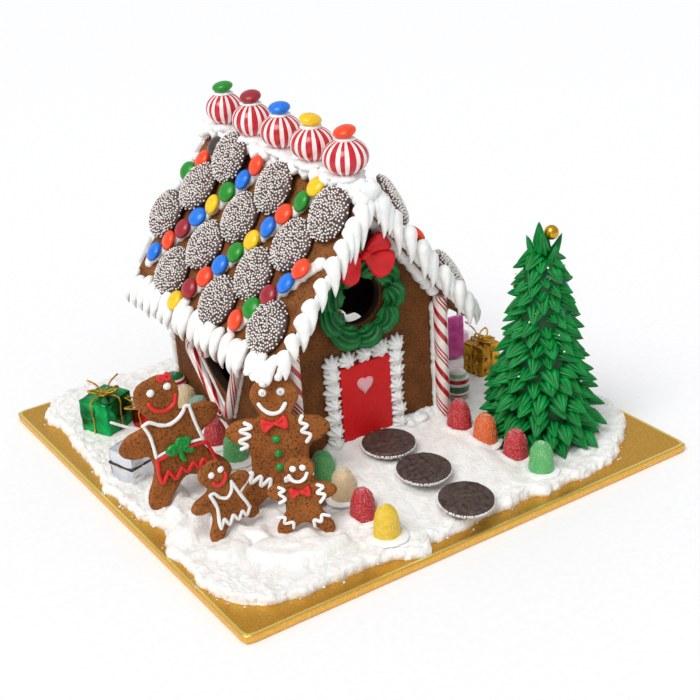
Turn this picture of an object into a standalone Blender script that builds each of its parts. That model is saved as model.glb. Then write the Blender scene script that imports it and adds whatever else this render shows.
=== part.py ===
"""A gingerbread house on a square gold cake board, with its icing, sweets, figures, tree and gifts.

Units are metres and +Z is up. The door faces -Y, and the origin is at the middle of the board's
underside. Heights named "above the board" count from the board's top face.
"""

import math

import bmesh
import bpy
from mathutils import Matrix, Vector

GAP = 0.0003

# Board
BOARD_SIDE = 0.3556
BOARD_THICKNESS = 0.006
BOARD_EDGE_BEVEL = 0.0006
BOARD_TOP = BOARD_THICKNESS
HALF_BOARD = BOARD_SIDE / 2

# House shell
HOUSE_CENTRE_X = -0.009
HOUSE_HALF_WIDTH = 0.058
HOUSE_FRONT_Y = -0.060
HOUSE_BACK_Y = 0.1145
WALL_THICKNESS = 0.007
ROOF_PITCH = math.radians(52)
ROOF_THICKNESS = 0.007
ROOF_SLOPE_LENGTH = 0.137
ROOF_FRONT_Y = -0.075
ROOF_BACK_Y = 0.130
RIDGE_Z = BOARD_TOP + 0.2015
HOUSE_FLOOR_Z = BOARD_TOP + 0.003
WALL_FOOT_Z = HOUSE_FLOOR_Z + GAP

# Openings in the walls
WREATH_X = -0.0125
WREATH_Z = BOARD_TOP + 0.125
ROUND_WINDOW_RADIUS = 0.0175
HEART_TIP_Y = 0.033
HEART_TIP_Z = BOARD_TOP + 0.019
HEART_TILT = math.radians(11)

# Snow
SNOW_DEPTH = 0.006
SNOW_SWELL = 0.0007
SNOW_CELLS = 17
BANK_HEIGHT = 0.018
BANK_WALL_SHARE = 0.28
BANK_WALL_FADE = 0.010
BANK_SLOPE = (0.035, 0.115)
BANK_LEFT_X = (-0.062, -0.044)
BANK_RIGHT_X = (0.042, 0.070)
BANK_BEHIND = 0.030
# Bare margin between the snow and the board's edge: (place along that edge, margin)
LEFT_MARGIN = (
    (-0.178, 0.003), (-0.140, 0.002), (-0.093, 0.004), (-0.068, 0.014), (-0.052, 0.008),
    (-0.025, 0.003), (0.030, 0.003), (0.048, 0.009), (0.100, 0.008), (0.132, 0.015), (0.178, 0.017),
)
FRONT_MARGIN = (
    (-0.178, 0.030), (-0.158, 0.020), (-0.120, 0.015), (-0.065, 0.017), (-0.050, 0.012),
    (-0.037, 0.003), (-0.024, 0.012), (0.000, 0.008), (0.050, 0.014), (0.115, 0.012), (0.178, 0.024),
)
RIGHT_MARGIN = (
    (-0.178, 0.056), (-0.160, 0.036), (-0.140, 0.006), (-0.110, 0.002), (-0.040, 0.009),
    (0.030, 0.004), (0.100, 0.011), (0.178, 0.022),
)
BACK_MARGIN = (
    (-0.178, 0.024), (-0.130, 0.008), (-0.060, 0.013), (0.010, 0.005), (0.090, 0.012),
    (0.140, 0.006), (0.178, 0.026),
)

# Ridge
BALL_COUNT = 5
BALL_RADIUS = 0.014
BALL_HALF_HEIGHT = 0.011
BALL_FIRST_Y = -0.0502
BALL_SPACING = 0.0394
BALL_Z = BOARD_TOP + 0.2185
RIDGE_ICING_FOOT = 0.0032
RIDGE_ICING_HALF_WIDTH = 0.0056
RIDGE_ICING_HEIGHT = 0.0046
RIDGE_BEAD_LENGTH = 0.0128

# Icicles along the roof's free edges
ICICLE_SPACING = 0.0105
ICICLE_LENGTH = 0.017
ICICLE_VALLEY = 0.0045
ICICLE_REACH = 0.0045
ICICLE_RIDGE_CLEARANCE = 0.0100
# Icicles stay short along the left eave below this height and ahead of this place: the father's
# head leans in under them
ICICLE_SHORT_BELOW_Z = BOARD_TOP + 0.0945
ICICLE_SHORT_AHEAD_OF_Y = -0.050
# Root's width on the panel and height above it: front rake, eave, back rake
ICICLE_ROOTS = ((0.0036, 0.0050), (0.0070, 0.0050), (0.0034, 0.0024))

# Chocolate discs on the roof: rows run down the slope and towards the back
DISC_RADIUS = 0.0187
DISC_TOP_RADIUS = 0.0150
DISC_THICKNESS = 0.0065
DISC_SIDES = 14
DISC_STEP_DOWN = 0.0283
DISC_REST = 0.0012
DISC_REST_OVER_EDGE = 0.0034
ROW_RUN_BACK = 0.8
# Each row: first disc's distance down the slope, the row's place along the ridge, discs, height off the roof
DISC_ROWS = (
    (0.0160, 0.0640, 3, DISC_REST_OVER_EDGE),
    (0.0222, -0.0045, 4, DISC_REST),
    (0.0227, -0.0735, 4, DISC_REST),
    (0.1050, -0.1345, 1, DISC_REST),
)

# Boxes (size, centre) that discs stop short of: the ridge's icing and the front icicles' roots
RIDGE_TRIM = (
    (2 * RIDGE_ICING_HALF_WIDTH + 0.0008, 0.300, 0.060),
    (HOUSE_CENTRE_X, 0.027, RIDGE_Z),
)
FRONT_TRIM = (
    (0.250, 0.020, 0.250),
    (HOUSE_CENTRE_X, ROOF_FRONT_Y + ICICLE_ROOTS[0][0] + 0.0004 - 0.010, RIDGE_Z - 0.060),
)

# Door and wreath
DOOR_X = -0.0115
DOOR_WIDTH = 0.040
DOOR_HEIGHT = 0.0555
DOOR_THICKNESS = 0.003
DOOR_FOOT_Z = BOARD_TOP + 0.0247
BORDER_WIDTH = 0.0115
BORDER_HEIGHT = 0.0065
BORDER_STAR_PITCH = 0.0098
WREATH_RING_RADIUS = 0.0257
WREATH_HALF_WIDTH = 0.0076
WREATH_HEIGHT = 0.0095
WREATH_SHELLS = 9
BOW_X = -0.0137
BOW_Z = BOARD_TOP + 0.1605
BOW_THICKNESS = 0.005

# Sticks and canes
STICK_RADIUS = 0.0050
STICK_OUTBOARD = 0.0015
STICK_FOOT_Z = BOARD_TOP + 0.0045
STICK_TOP_Z = BOARD_TOP + 0.1065
CANE_RADIUS = 0.0029
CANE_LEG = 0.056
CANE_HALF_ANGLE = math.radians(35)
CANE_HOOK_RADIUS = 0.0122
CANE_FOOT_APART = 0.0044

# Gingerbread people: name, height, foot (x, y), turn about Z, lean back, roll to the left
PEOPLE = (
    ("cookie_mother", 0.089, (-0.1317, -0.0297), -6, 6, 11),
    ("cookie_father", 0.084, (-0.0935, -0.0800), -34, 10, 1.5),
    ("cookie_girl", 0.055, (-0.1297, -0.0851), 3, 2, 16),
    ("cookie_boy", 0.055, (-0.0952, -0.1136), -37, 2, 2),
)
PEOPLE_FOOT_Z = BOARD_TOP + 0.0040
ADULT_THICKNESS = 0.0070
CHILD_THICKNESS = 0.0058

# Tree
TREE_XY = (0.106, -0.106)
TREE_FOOT_Z = BOARD_TOP + 0.0035
TREE_TOP_Z = BOARD_TOP + 0.1535
TREE_RADIUS = 0.0440
TREE_TRUNK_RADIUS = 0.0345
TREE_TIERS = 8
TREE_LEAVES = 11

# Gifts: name, size, middle of the foot (x, y), turn about Z, tilt
GIFTS = (
    ("gift_green", (0.029, 0.026, 0.026), (-0.1335, 0.1020), 26, 0),
    ("gift_silver", (0.023, 0.022, 0.024), (-0.1500, 0.0230), 18, 0),
    ("gift_gold", (0.022, 0.021, 0.021), (0.1310, -0.0060), 8, 0),
    ("packet_pink", (0.026, 0.010, 0.040), (0.1270, 0.0330), -12, 0),
)
GIFT_FOOT_Z = BOARD_TOP + 0.0045
GIFT_BEVEL = 0.0012

# Striped candies: name, middle of the foot
CANDY_RADIUS = 0.0105
CANDY_HEIGHT = 0.0270
CANDIES = (
    ("striped_candy_left", (-0.0815, 0.1010)),
    ("striped_candy_right", (0.0900, -0.0330)),
)

# Gumdrops: middle of the foot
GUMDROP_RADIUS = 0.0088
GUMDROP_HEIGHT = 0.0240
GUMDROP_BY_TREE = 3
GUMDROPS = (
    (0.0505, -0.0838), (0.0567, -0.1045), (0.0655, -0.1265), (0.0682, -0.1497),
    (-0.0570, -0.0990), (-0.0594, -0.1250), (-0.0589, -0.1505), (-0.0560, -0.0725),
    (-0.0860, -0.0060), (-0.0845, 0.0255), (-0.0790, 0.0600), (-0.0790, 0.0800),
)
SINK = 0.0015

# Chocolate discs laid upside down as a path: middle (x, y) and forward tilt in degrees
STONE_RADIUS = 0.0182
STONE_THICKNESS = 0.0065
STONES = (((-0.0087, -0.0823), 1), ((-0.0068, -0.1192), 3), ((-0.0005, -0.1556), 6))


# --- scene, collections and materials ---------------------------------------------------------

def clear_scene():
    for obj in list(bpy.data.objects):
        bpy.data.objects.remove(obj, do_unlink=True)


def new_collection(name):
    collection = bpy.data.collections.new(name)
    bpy.context.scene.collection.children.link(collection)
    return collection


def make_material(name, colour, roughness, metallic=0.0):
    material = bpy.data.materials.new(name)
    material.use_nodes = True
    shader = material.node_tree.nodes["Principled BSDF"]
    shader.inputs["Base Color"].default_value = (*colour, 1.0)
    shader.inputs["Roughness"].default_value = roughness
    shader.inputs["Metallic"].default_value = metallic
    material.diffuse_color = (*colour, 1.0)
    return material


def add_mesh(name, bm, material):
    """The bmesh as a new object of the house."""
    mesh = bpy.data.meshes.new(name)
    bmesh.ops.recalc_face_normals(bm, faces=bm.faces)
    bm.to_mesh(mesh)
    bm.free()
    mesh.materials.append(material)
    obj = bpy.data.objects.new(name, mesh)
    PARTS.objects.link(obj)
    return obj


def add_cutter(name, bm):
    mesh = bpy.data.meshes.new(name)
    bmesh.ops.recalc_face_normals(bm, faces=bm.faces)
    bm.to_mesh(mesh)
    bm.free()
    obj = bpy.data.objects.new(name, mesh)
    obj.hide_render = True
    obj.display_type = "WIRE"
    CUTTERS.objects.link(obj)
    return obj


def add_flat_curve(name, outlines, thickness, material, smooth=True, resolution=2):
    """Closed outlines in the XY plane, holes inside, extruded to a thickness about Z = 0."""
    curve = bpy.data.curves.new(name, "CURVE")
    curve.dimensions = "2D"
    curve.fill_mode = "BOTH"
    curve.extrude = thickness / 2
    curve.resolution_u = resolution
    for outline in outlines:
        spline = curve.splines.new("BEZIER" if smooth else "POLY")
        points = spline.bezier_points if smooth else spline.points
        points.add(len(outline) - 1)
        for point, (x, y) in zip(points, outline):
            point.co = (x, y, 0) if smooth else (x, y, 0, 1)
            if smooth:
                point.handle_left_type = "AUTO"
                point.handle_right_type = "AUTO"
        spline.use_cyclic_u = True
    curve.materials.append(material)
    obj = bpy.data.objects.new(name, curve)
    PARTS.objects.link(obj)
    return obj


def add_tube(name, points, radius, material):
    curve = bpy.data.curves.new(name, "CURVE")
    curve.dimensions = "3D"
    curve.bevel_depth = radius
    curve.bevel_resolution = 2
    curve.use_fill_caps = True
    spline = curve.splines.new("POLY")
    spline.points.add(len(points) - 1)
    for point, place in zip(spline.points, points):
        point.co = (*place, 1)
    curve.materials.append(material)
    obj = bpy.data.objects.new(name, curve)
    PARTS.objects.link(obj)
    return obj


# --- small geometry ---------------------------------------------------------------------------

def smooth_step(low, high, value):
    t = min(1.0, max(0.0, (value - low) / (high - low)))
    return t * t * (3 - 2 * t)


def between(table, place):
    """The margin at a place, read along straight lines between the table's points."""
    for (x0, y0), (x1, y1) in zip(table, table[1:]):
        if place <= x1:
            share = min(1.0, max(0.0, (place - x0) / (x1 - x0)))
            return y0 + share * (y1 - y0)
    return table[-1][1]


def ring_loft(rings, closed):
    """Rings of points joined in turn; a closed loft returns to its first ring, an open one is capped."""
    bm = bmesh.new()
    rows = [[bm.verts.new(point) for point in ring] for ring in rings]
    pairs = list(zip(rows, rows[1:]))
    if closed:
        pairs.append((rows[-1], rows[0]))
    for first, second in pairs:
        for i in range(len(first)):
            j = (i + 1) % len(first)
            bm.faces.new((first[i], first[j], second[j], second[i]))
    if not closed:
        bm.faces.new(rows[0])
        bm.faces.new(rows[-1])
    return bm


def turned(profile, sides, centre):
    """A solid of revolution about a vertical axis; the profile's ends are closed flat."""
    rings = []
    for radius, height in profile:
        turns = [2 * math.pi * i / sides for i in range(sides)]
        rings.append([
            Vector((radius * math.cos(t), radius * math.sin(t), height)) + centre for t in turns
        ])
    return ring_loft(rings, closed=False)


def prism(sides, radius, foot, height, centre_xy):
    profile = ((radius, foot), (radius, foot + height))
    return turned(profile, sides, Vector((*centre_xy, 0)))


def box(size, centre):
    bm = bmesh.new()
    bmesh.ops.create_cube(bm, size=1.0)
    bmesh.ops.scale(bm, vec=size, verts=bm.verts)
    bmesh.ops.translate(bm, vec=centre, verts=bm.verts)
    return bm


def standing(foot, turn, lean=0.0, roll=0.0):
    """The frame of a flat thing that stands at foot: its own XY plane is its face, +Y its height."""
    matrix = Matrix.Translation(foot) @ Matrix.Rotation(math.radians(turn), 4, "Z")
    matrix @= Matrix.Rotation(math.radians(90 - lean), 4, "X")
    return matrix @ Matrix.Rotation(math.radians(roll), 4, "Z")


# --- snow -------------------------------------------------------------------------------------

def snow_top(x, y):
    """Height of the snow's surface: an even coat, banked up in front of the gable as a path."""
    ahead = HOUSE_FRONT_Y - y
    if ahead > 0:
        near = BANK_WALL_SHARE * math.exp(-ahead / BANK_WALL_FADE)
        rise = near + (1 - BANK_WALL_SHARE) * (1 - smooth_step(*BANK_SLOPE, ahead))
    else:
        rise = 1 - smooth_step(0, BANK_BEHIND, -ahead)
    across = smooth_step(*BANK_LEFT_X, x) * (1 - smooth_step(*BANK_RIGHT_X, x))
    swell = SNOW_SWELL * math.sin(x * 61) * math.cos(y * 53 + 1)
    return BOARD_TOP + SNOW_DEPTH + swell + BANK_HEIGHT * rise * across


def snow_point(u, v):
    """A point of the snow in plan, for u and v from -1 to 1 across the board."""
    left = between(LEFT_MARGIN, v * HALF_BOARD)
    right = between(RIGHT_MARGIN, v * HALF_BOARD)
    front = between(FRONT_MARGIN, u * HALF_BOARD)
    back = between(BACK_MARGIN, u * HALF_BOARD)
    x = -HALF_BOARD + left + (u + 1) / 2 * (BOARD_SIDE - left - right)
    y = -HALF_BOARD + front + (v + 1) / 2 * (BOARD_SIDE - front - back)
    return x, y


def add_snow(material):
    bm = bmesh.new()
    steps = range(SNOW_CELLS + 1)
    grid = {}
    for i in steps:
        for j in steps:
            x, y = snow_point(2 * i / SNOW_CELLS - 1, 2 * j / SNOW_CELLS - 1)
            grid[i, j] = bm.verts.new((x, y, snow_top(x, y)))
    for i in range(SNOW_CELLS):
        for j in range(SNOW_CELLS):
            bm.faces.new((grid[i, j], grid[i + 1, j], grid[i + 1, j + 1], grid[i, j + 1]))
    last = SNOW_CELLS
    rim = [(i, 0) for i in range(last)] + [(last, j) for j in range(last)]
    rim += [(i, last) for i in range(last, 0, -1)] + [(0, j) for j in range(last, 0, -1)]
    foot = [bm.verts.new((*grid[place].co.xy, BOARD_TOP + GAP)) for place in rim]
    for k, place in enumerate(rim):
        following = (k + 1) % len(rim)
        bm.faces.new((grid[place], foot[k], foot[following], grid[rim[following]]))
    bm.faces.new(foot)
    snow = add_mesh("snow", bm, material)
    footprints = new_collection("footprints")
    for cutter in snow_cutters():
        footprints.objects.link(cutter)
    cut = snow.modifiers.new("footprints", "BOOLEAN")
    cut.operation = "DIFFERENCE"
    cut.operand_type = "COLLECTION"
    cut.collection = footprints


def snow_cutters():
    """One cutter for each thing planted in the snow, a gap wider than the thing."""
    tall = 0.050
    width = 2 * (HOUSE_HALF_WIDTH + GAP)
    depth = HOUSE_BACK_Y - HOUSE_FRONT_Y + 2 * GAP
    middle = Vector((HOUSE_CENTRE_X, (HOUSE_FRONT_Y + HOUSE_BACK_Y) / 2, HOUSE_FLOOR_Z + tall / 2))
    cutters = [add_cutter("cut_house", box((width, depth, tall), middle))]
    for side in (-1, 1):
        place = stick_place(side)
        bm = prism(12, STICK_RADIUS + 3 * GAP, STICK_FOOT_Z - GAP, tall, place)
        cutters.append(add_cutter(f"cut_stick_{side}", bm))
    for index, place in enumerate(GUMDROPS, 1):
        foot = snow_top(*place) - SINK - GAP
        bm = prism(9, GUMDROP_RADIUS + 2 * GAP, foot, tall, place)
        cutters.append(add_cutter(f"cut_gumdrop_{index}", bm))
    for index, (place, tilt) in enumerate(STONES, 1):
        bm = prism(16, STONE_RADIUS + 2 * GAP, -GAP, tall, (0, 0))
        bmesh.ops.transform(bm, matrix=stone_frame(place, tilt), verts=bm.verts)
        cutters.append(add_cutter(f"cut_stone_{index}", bm))
    for name, place in CANDIES:
        bm = prism(12, CANDY_RADIUS + 2 * GAP, GIFT_FOOT_Z - GAP, tall, place)
        cutters.append(add_cutter(f"cut_{name}", bm))
    bm = prism(2 * TREE_LEAVES, TREE_TRUNK_RADIUS + 4 * GAP, TREE_FOOT_Z - GAP, tall, TREE_XY)
    cutters.append(add_cutter("cut_tree", bm))
    for name, size, place, turn, _tilt in GIFTS:
        wide = (size[0] + 4 * GAP, size[1] + 4 * GAP, tall)
        cutter = add_cutter(f"cut_{name}", box(wide, Vector((0, 0, tall / 2 - GAP))))
        cutter.matrix_world = Matrix.Translation((*place, GIFT_FOOT_Z))
        cutter.matrix_world @= Matrix.Rotation(math.radians(turn), 4, "Z")
        cutters.append(cutter)
    for name, height, place, turn, lean, roll in PEOPLE:
        slot = (0.80 * height, tall, person_thickness(height) + 3 * GAP)
        cutter = add_cutter(f"cut_{name}", box(slot, Vector((0, tall / 2 - 0.04 * height, 0))))
        cutter.matrix_world = standing(person_foot(height, place, roll), turn, lean, roll)
        cutters.append(cutter)
    return cutters


# --- house ------------------------------------------------------------------------------------

def roof_top_z(distance):
    """Height of the roof's upper face at a distance across from the ridge."""
    return RIDGE_Z - abs(distance) * math.tan(ROOF_PITCH)


def roof_under_z(distance):
    return roof_top_z(distance) - ROOF_THICKNESS / math.cos(ROOF_PITCH)


def circle(centre, radius, sides):
    turns = [2 * math.pi * i / sides for i in range(sides)]
    return [(centre[0] + radius * math.cos(t), centre[1] + radius * math.sin(t)) for t in turns]


def heart_window():
    """The window's outline in wall coordinates (Y, Z): a heart inside the two canes."""
    points = []
    for i in range(20):
        t = 2 * math.pi * i / 20
        across = 0.0245 * math.sin(t) ** 3
        up = 0.0255 + 0.0168 * (math.cos(t) - 0.32 * math.cos(2 * t) - 0.10 * math.cos(3 * t))
        points.append(tilted(across, up + 0.010))
    return points


def tilted(across, up):
    """A place beside the heart's own axis, as wall coordinates (Y, Z)."""
    y = HEART_TIP_Y + across * math.cos(HEART_TILT) + up * math.sin(HEART_TILT)
    z = HEART_TIP_Z - across * math.sin(HEART_TILT) + up * math.cos(HEART_TILT)
    return y, z


def add_gable(name, y_outer, inward, material, holes):
    """An end wall, drawn in (X, Z) and stood up with its outer face at y_outer."""
    half = HOUSE_HALF_WIDTH
    shoulder = roof_under_z(half) - GAP
    peak = roof_under_z(0) - GAP
    outline = [
        (HOUSE_CENTRE_X - half, WALL_FOOT_Z), (HOUSE_CENTRE_X + half, WALL_FOOT_Z),
        (HOUSE_CENTRE_X + half, shoulder), (HOUSE_CENTRE_X, peak), (HOUSE_CENTRE_X - half, shoulder),
    ]
    wall = add_flat_curve(name, [outline, *holes], WALL_THICKNESS, material, smooth=False)
    wall.rotation_euler = (math.pi / 2, 0, 0)
    wall.location.y = y_outer + inward * WALL_THICKNESS / 2
    return wall


def add_side_wall(name, side, material):
    """A side wall between the gables, drawn in (Y, Z) and stood up."""
    front = HOUSE_FRONT_Y + WALL_THICKNESS + GAP
    back = HOUSE_BACK_Y - WALL_THICKNESS - GAP
    top = roof_under_z(HOUSE_HALF_WIDTH) - GAP
    outline = [(front, WALL_FOOT_Z), (back, WALL_FOOT_Z), (back, top), (front, top)]
    wall = add_flat_curve(name, [outline, heart_window()], WALL_THICKNESS, material, smooth=False)
    wall.rotation_euler = (math.pi / 2, 0, math.pi / 2)
    wall.location.x = HOUSE_CENTRE_X + side * (HOUSE_HALF_WIDTH - WALL_THICKNESS / 2)


def add_walls(material):
    window = circle((WREATH_X, WREATH_Z), ROUND_WINDOW_RADIUS, 20)
    add_gable("wall_front", HOUSE_FRONT_Y, 1, material, [window])
    add_gable("wall_back", HOUSE_BACK_Y, -1, material, [])
    add_side_wall("wall_left", -1, material)
    add_side_wall("wall_right", 1, material)


def down_slope(side):
    return Vector((side * math.cos(ROOF_PITCH), 0, -math.sin(ROOF_PITCH)))


def off_slope(side):
    return Vector((side * math.sin(ROOF_PITCH), 0, math.cos(ROOF_PITCH)))


def roof_place(side, down, y, above=0.0):
    """A point on a roof slope: down from the ridge, at y, and above the gingerbread."""
    ridge = Vector((HOUSE_CENTRE_X, y, RIDGE_Z))
    return ridge + down * down_slope(side) + above * off_slope(side)


def add_roof(name, side, material):
    """A roof panel, mitred at the ridge and cut square at the eave."""
    length = ROOF_SLOPE_LENGTH
    outline = (
        roof_place(side, 0, 0),
        roof_place(side, length, 0),
        roof_place(side, length, 0, -ROOF_THICKNESS),
        Vector((HOUSE_CENTRE_X, 0, roof_under_z(0))),
    )
    rings = []
    for y in (ROOF_FRONT_Y, ROOF_BACK_Y):
        rings.append([point + Vector((side * GAP / 2, y, 0)) for point in outline])
    add_mesh(name, ring_loft(rings, closed=False), material)


def add_ridge_icing(material):
    """A piped rope along the ridge, beaded along its length and seated in the roof's angle."""
    foot = RIDGE_ICING_FOOT
    wide = RIDGE_ICING_HALF_WIDTH
    stations = 2 * round((ROOF_BACK_Y - ROOF_FRONT_Y) / RIDGE_BEAD_LENGTH)
    rings = []
    for i in range(stations + 1):
        y = ROOF_FRONT_Y + (ROOF_BACK_Y - ROOF_FRONT_Y) * i / stations
        swell = 1.0 if i % 2 else 0.78
        shape = (
            (-foot, roof_top_z(foot) + 2 * GAP),
            (-wide * swell, RIDGE_Z - 0.0004),
            (-wide * 0.55 * swell, RIDGE_Z + 0.0034 * swell),
            (0, RIDGE_Z + RIDGE_ICING_HEIGHT * swell),
            (wide * 0.55 * swell, RIDGE_Z + 0.0034 * swell),
            (wide * swell, RIDGE_Z - 0.0004),
            (foot, roof_top_z(foot) + 2 * GAP),
            (0, RIDGE_Z + 2 * GAP),
        )
        rings.append([Vector((HOUSE_CENTRE_X + x, y, z)) for x, z in shape])
    add_mesh("ridge_icing", ring_loft(rings, closed=False), material)


def add_ridge_balls(material):
    for index in range(BALL_COUNT):
        bm = bmesh.new()
        bmesh.ops.create_uvsphere(bm, u_segments=12, v_segments=7, radius=BALL_RADIUS)
        bmesh.ops.scale(bm, vec=(1, 1, BALL_HALF_HEIGHT / BALL_RADIUS), verts=bm.verts)
        y = BALL_FIRST_Y + index * BALL_SPACING
        bmesh.ops.translate(bm, vec=(HOUSE_CENTRE_X, y, BALL_Z), verts=bm.verts)
        add_mesh(f"peppermint_{index + 1}", bm, material)


# --- icicles ----------------------------------------------------------------------------------

def edge_path(side):
    """Valleys and tips along a slope's free edges: front rake, eave, back rake, as
    (place on the edge, direction out over the edge, root width and height, whether a tip)."""
    down, out_eave = down_slope(side), down_slope(side)
    eave = ROOF_SLOPE_LENGTH
    runs = (
        (roof_place(side, ICICLE_RIDGE_CLEARANCE, ROOF_FRONT_Y), down,
         eave - ICICLE_RIDGE_CLEARANCE, Vector((0, -1, 0))),
        (roof_place(side, eave, ROOF_FRONT_Y), Vector((0, 1, 0)),
         ROOF_BACK_Y - ROOF_FRONT_Y, out_eave),
        (roof_place(side, eave, ROOF_BACK_Y), -down,
         eave - ICICLE_RIDGE_CLEARANCE, Vector((0, 1, 0))),
    )
    path = []
    for index, (start, along, length, out) in enumerate(runs):
        count = 2 * round(length / ICICLE_SPACING)
        first = 0 if index == 0 else 1
        last = count if index == len(runs) - 1 else count - 1
        for i in range(first, last + 1):
            path.append((start + along * length * i / count, out, ICICLE_ROOTS[index], i % 2 == 1))
        if index < len(runs) - 1:
            corner = start + along * length
            path.append((corner, (out + runs[index + 1][3]).normalized(), ICICLE_ROOTS[index], True))
    return path


def add_icicles(name, side, material):
    """One piped fringe: fat roots on the panel, pointed ends hanging past its edge."""
    normal = off_slope(side)
    hang = Vector((0, 0, -1))
    rings = []
    for place, out, (inset, height), is_tip in edge_path(side):
        low_corner = place.z < ICICLE_SHORT_BELOW_Z and place.y < ICICLE_SHORT_AHEAD_OF_Y
        is_short = not is_tip or (side == -1 and low_corner)
        length = ICICLE_VALLEY if is_short else ICICLE_LENGTH
        fat = 1.0 if is_tip else 0.72
        rings.append([
            place - out * inset * fat + normal * 2 * GAP,
            place + out * ICICLE_REACH * 0.3 * fat + normal * height * fat,
            place + out * ICICLE_REACH * 0.6 + hang * length,
            place + out * 2 * GAP + normal * 2 * GAP,
        ])
    add_mesh(name, ring_loft(rings, closed=False), material)


# --- chocolate discs --------------------------------------------------------------------------

def disc(radius, top_radius, thickness, sides, matrix):
    bm = turned(((radius, 0), (top_radius, thickness)), sides, Vector())
    bmesh.ops.transform(bm, matrix=matrix, verts=bm.verts)
    return bm


def joined(name, pieces, material):
    """Overlapping solids made one body."""
    whole = add_mesh(name, pieces[0], material)
    for index, piece in enumerate(pieces[1:], 2):
        part = add_cutter(f"{name}_part_{index}", piece)
        join = whole.modifiers.new(part.name, "BOOLEAN")
        join.operation = "UNION"
        join.object = part
    return whole


def add_disc_row(name, side, start, offset, count, rest, material):
    """A diagonal row of discs whose rims lap over one another, cut off under the ridge's icing
    and under the roots of the front icicles."""
    pieces = []
    for i in range(count):
        down = start + i * DISC_STEP_DOWN
        y = offset + ROW_RUN_BACK * down
        place = roof_place(side, down, y, rest + 0.0006)
        face = off_slope(side)
        tip = math.radians(2.2) * math.sin(2.4 * i + offset * 40)
        frame = Matrix((down_slope(side), face.cross(down_slope(side)), face)).transposed().to_4x4()
        matrix = Matrix.Translation(place) @ frame @ Matrix.Rotation(tip, 4, "Y")
        matrix @= Matrix.Rotation(0.3 * i, 4, "Z")
        pieces.append(disc(DISC_RADIUS, DISC_TOP_RADIUS, DISC_THICKNESS, DISC_SIDES, matrix))
    row = joined(name, pieces, material)
    first = offset + ROW_RUN_BACK * start - DISC_RADIUS
    trims = []
    if start < 0.030:
        trims.append(("ridge", RIDGE_TRIM))
    if first < ROOF_FRONT_Y + ICICLE_ROOTS[0][0]:
        trims.append(("front", FRONT_TRIM))
    for word, (size, centre) in trims:
        cut = row.modifiers.new(word, "BOOLEAN")
        cut.operation = "DIFFERENCE"
        cut.object = add_cutter(f"{name}_{word}", box(size, Vector(centre)))


def stone_frame(place, tilt):
    foot = Vector((*place, snow_top(*place) - SINK))
    return Matrix.Translation(foot) @ Matrix.Rotation(math.radians(tilt), 4, "X")


def add_stones(material):
    for index, (place, tilt) in enumerate(STONES, 1):
        frame = stone_frame(place, tilt)
        bm = disc(STONE_RADIUS, STONE_RADIUS * 0.98, STONE_THICKNESS + SINK, 16, frame)
        add_mesh(f"stepping_disc_{index}", bm, material)


# --- front of the house -----------------------------------------------------------------------

def add_door(material):
    size = (DOOR_WIDTH, DOOR_THICKNESS, DOOR_HEIGHT)
    y = HOUSE_FRONT_Y - GAP - DOOR_THICKNESS / 2
    centre = Vector((DOOR_X, y, DOOR_FOOT_Z + DOOR_HEIGHT / 2))
    door = add_mesh("door", box(size, centre), material)
    bevel = door.modifiers.new("edge", "BEVEL")
    bevel.width = 0.0006
    bevel.segments = 1


def piped_ring(place, along, out, half_width, height, swell):
    """A piped rope's section, flat at the back and crowned towards out."""
    across = along.cross(out).normalized()
    shape = ((-1, 0), (-0.90, 0.60), (0, 1), (0.90, 0.60), (1, 0))
    return [
        place + across * half_width * swell * a + out * height * (b if b == 0 else b * swell)
        for a, b in shape
    ]


def add_door_border(material):
    """Piped stars up one side of the door, over its top and down the other."""
    half = DOOR_WIDTH / 2 + BORDER_WIDTH / 2 + GAP
    top = DOOR_FOOT_Z + DOOR_HEIGHT + BORDER_WIDTH / 2 + GAP
    y = HOUSE_FRONT_Y - GAP
    corners = [
        Vector((DOOR_X - half, y, DOOR_FOOT_Z)), Vector((DOOR_X - half, y, top)),
        Vector((DOOR_X + half, y, top)), Vector((DOOR_X + half, y, DOOR_FOOT_Z)),
    ]
    out = Vector((0, -1, 0))
    rings = []
    for index, (start, end) in enumerate(zip(corners, corners[1:])):
        along = (end - start).normalized()
        count = 2 * round((end - start).length / BORDER_STAR_PITCH)
        for i in range(0 if index == 0 else 1, count + (1 if index == 2 else 0)):
            swell = 1.0 if i % 2 else 0.76
            place = start.lerp(end, i / count)
            rings.append(piped_ring(place, along, out, BORDER_WIDTH / 2, BORDER_HEIGHT, swell))
        if index < 2:
            turn = (along + (corners[index + 2] - end).normalized()).normalized()
            rings.append(piped_ring(end, turn, out, BORDER_WIDTH / 2, BORDER_HEIGHT, 1.0))
    add_mesh("door_border", ring_loft(rings, closed=False), material)


def add_wreath(material):
    """A ring of piped shells round the window."""
    stations = 3 * WREATH_SHELLS
    centre = Vector((WREATH_X, HOUSE_FRONT_Y - GAP, WREATH_Z))
    rings = []
    for i in range(stations):
        t = 2 * math.pi * i / stations
        radial = Vector((math.cos(t), 0, math.sin(t)))
        along = Vector((-math.sin(t), 0, math.cos(t)))
        swell = 0.90 + 0.10 * math.cos(WREATH_SHELLS * t)
        place = centre + radial * WREATH_RING_RADIUS
        out = Vector((0, -1, 0))
        rings.append(piped_ring(place, along, out, WREATH_HALF_WIDTH, WREATH_HEIGHT, swell))
    add_mesh("wreath", ring_loft(rings, closed=True), material)


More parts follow.
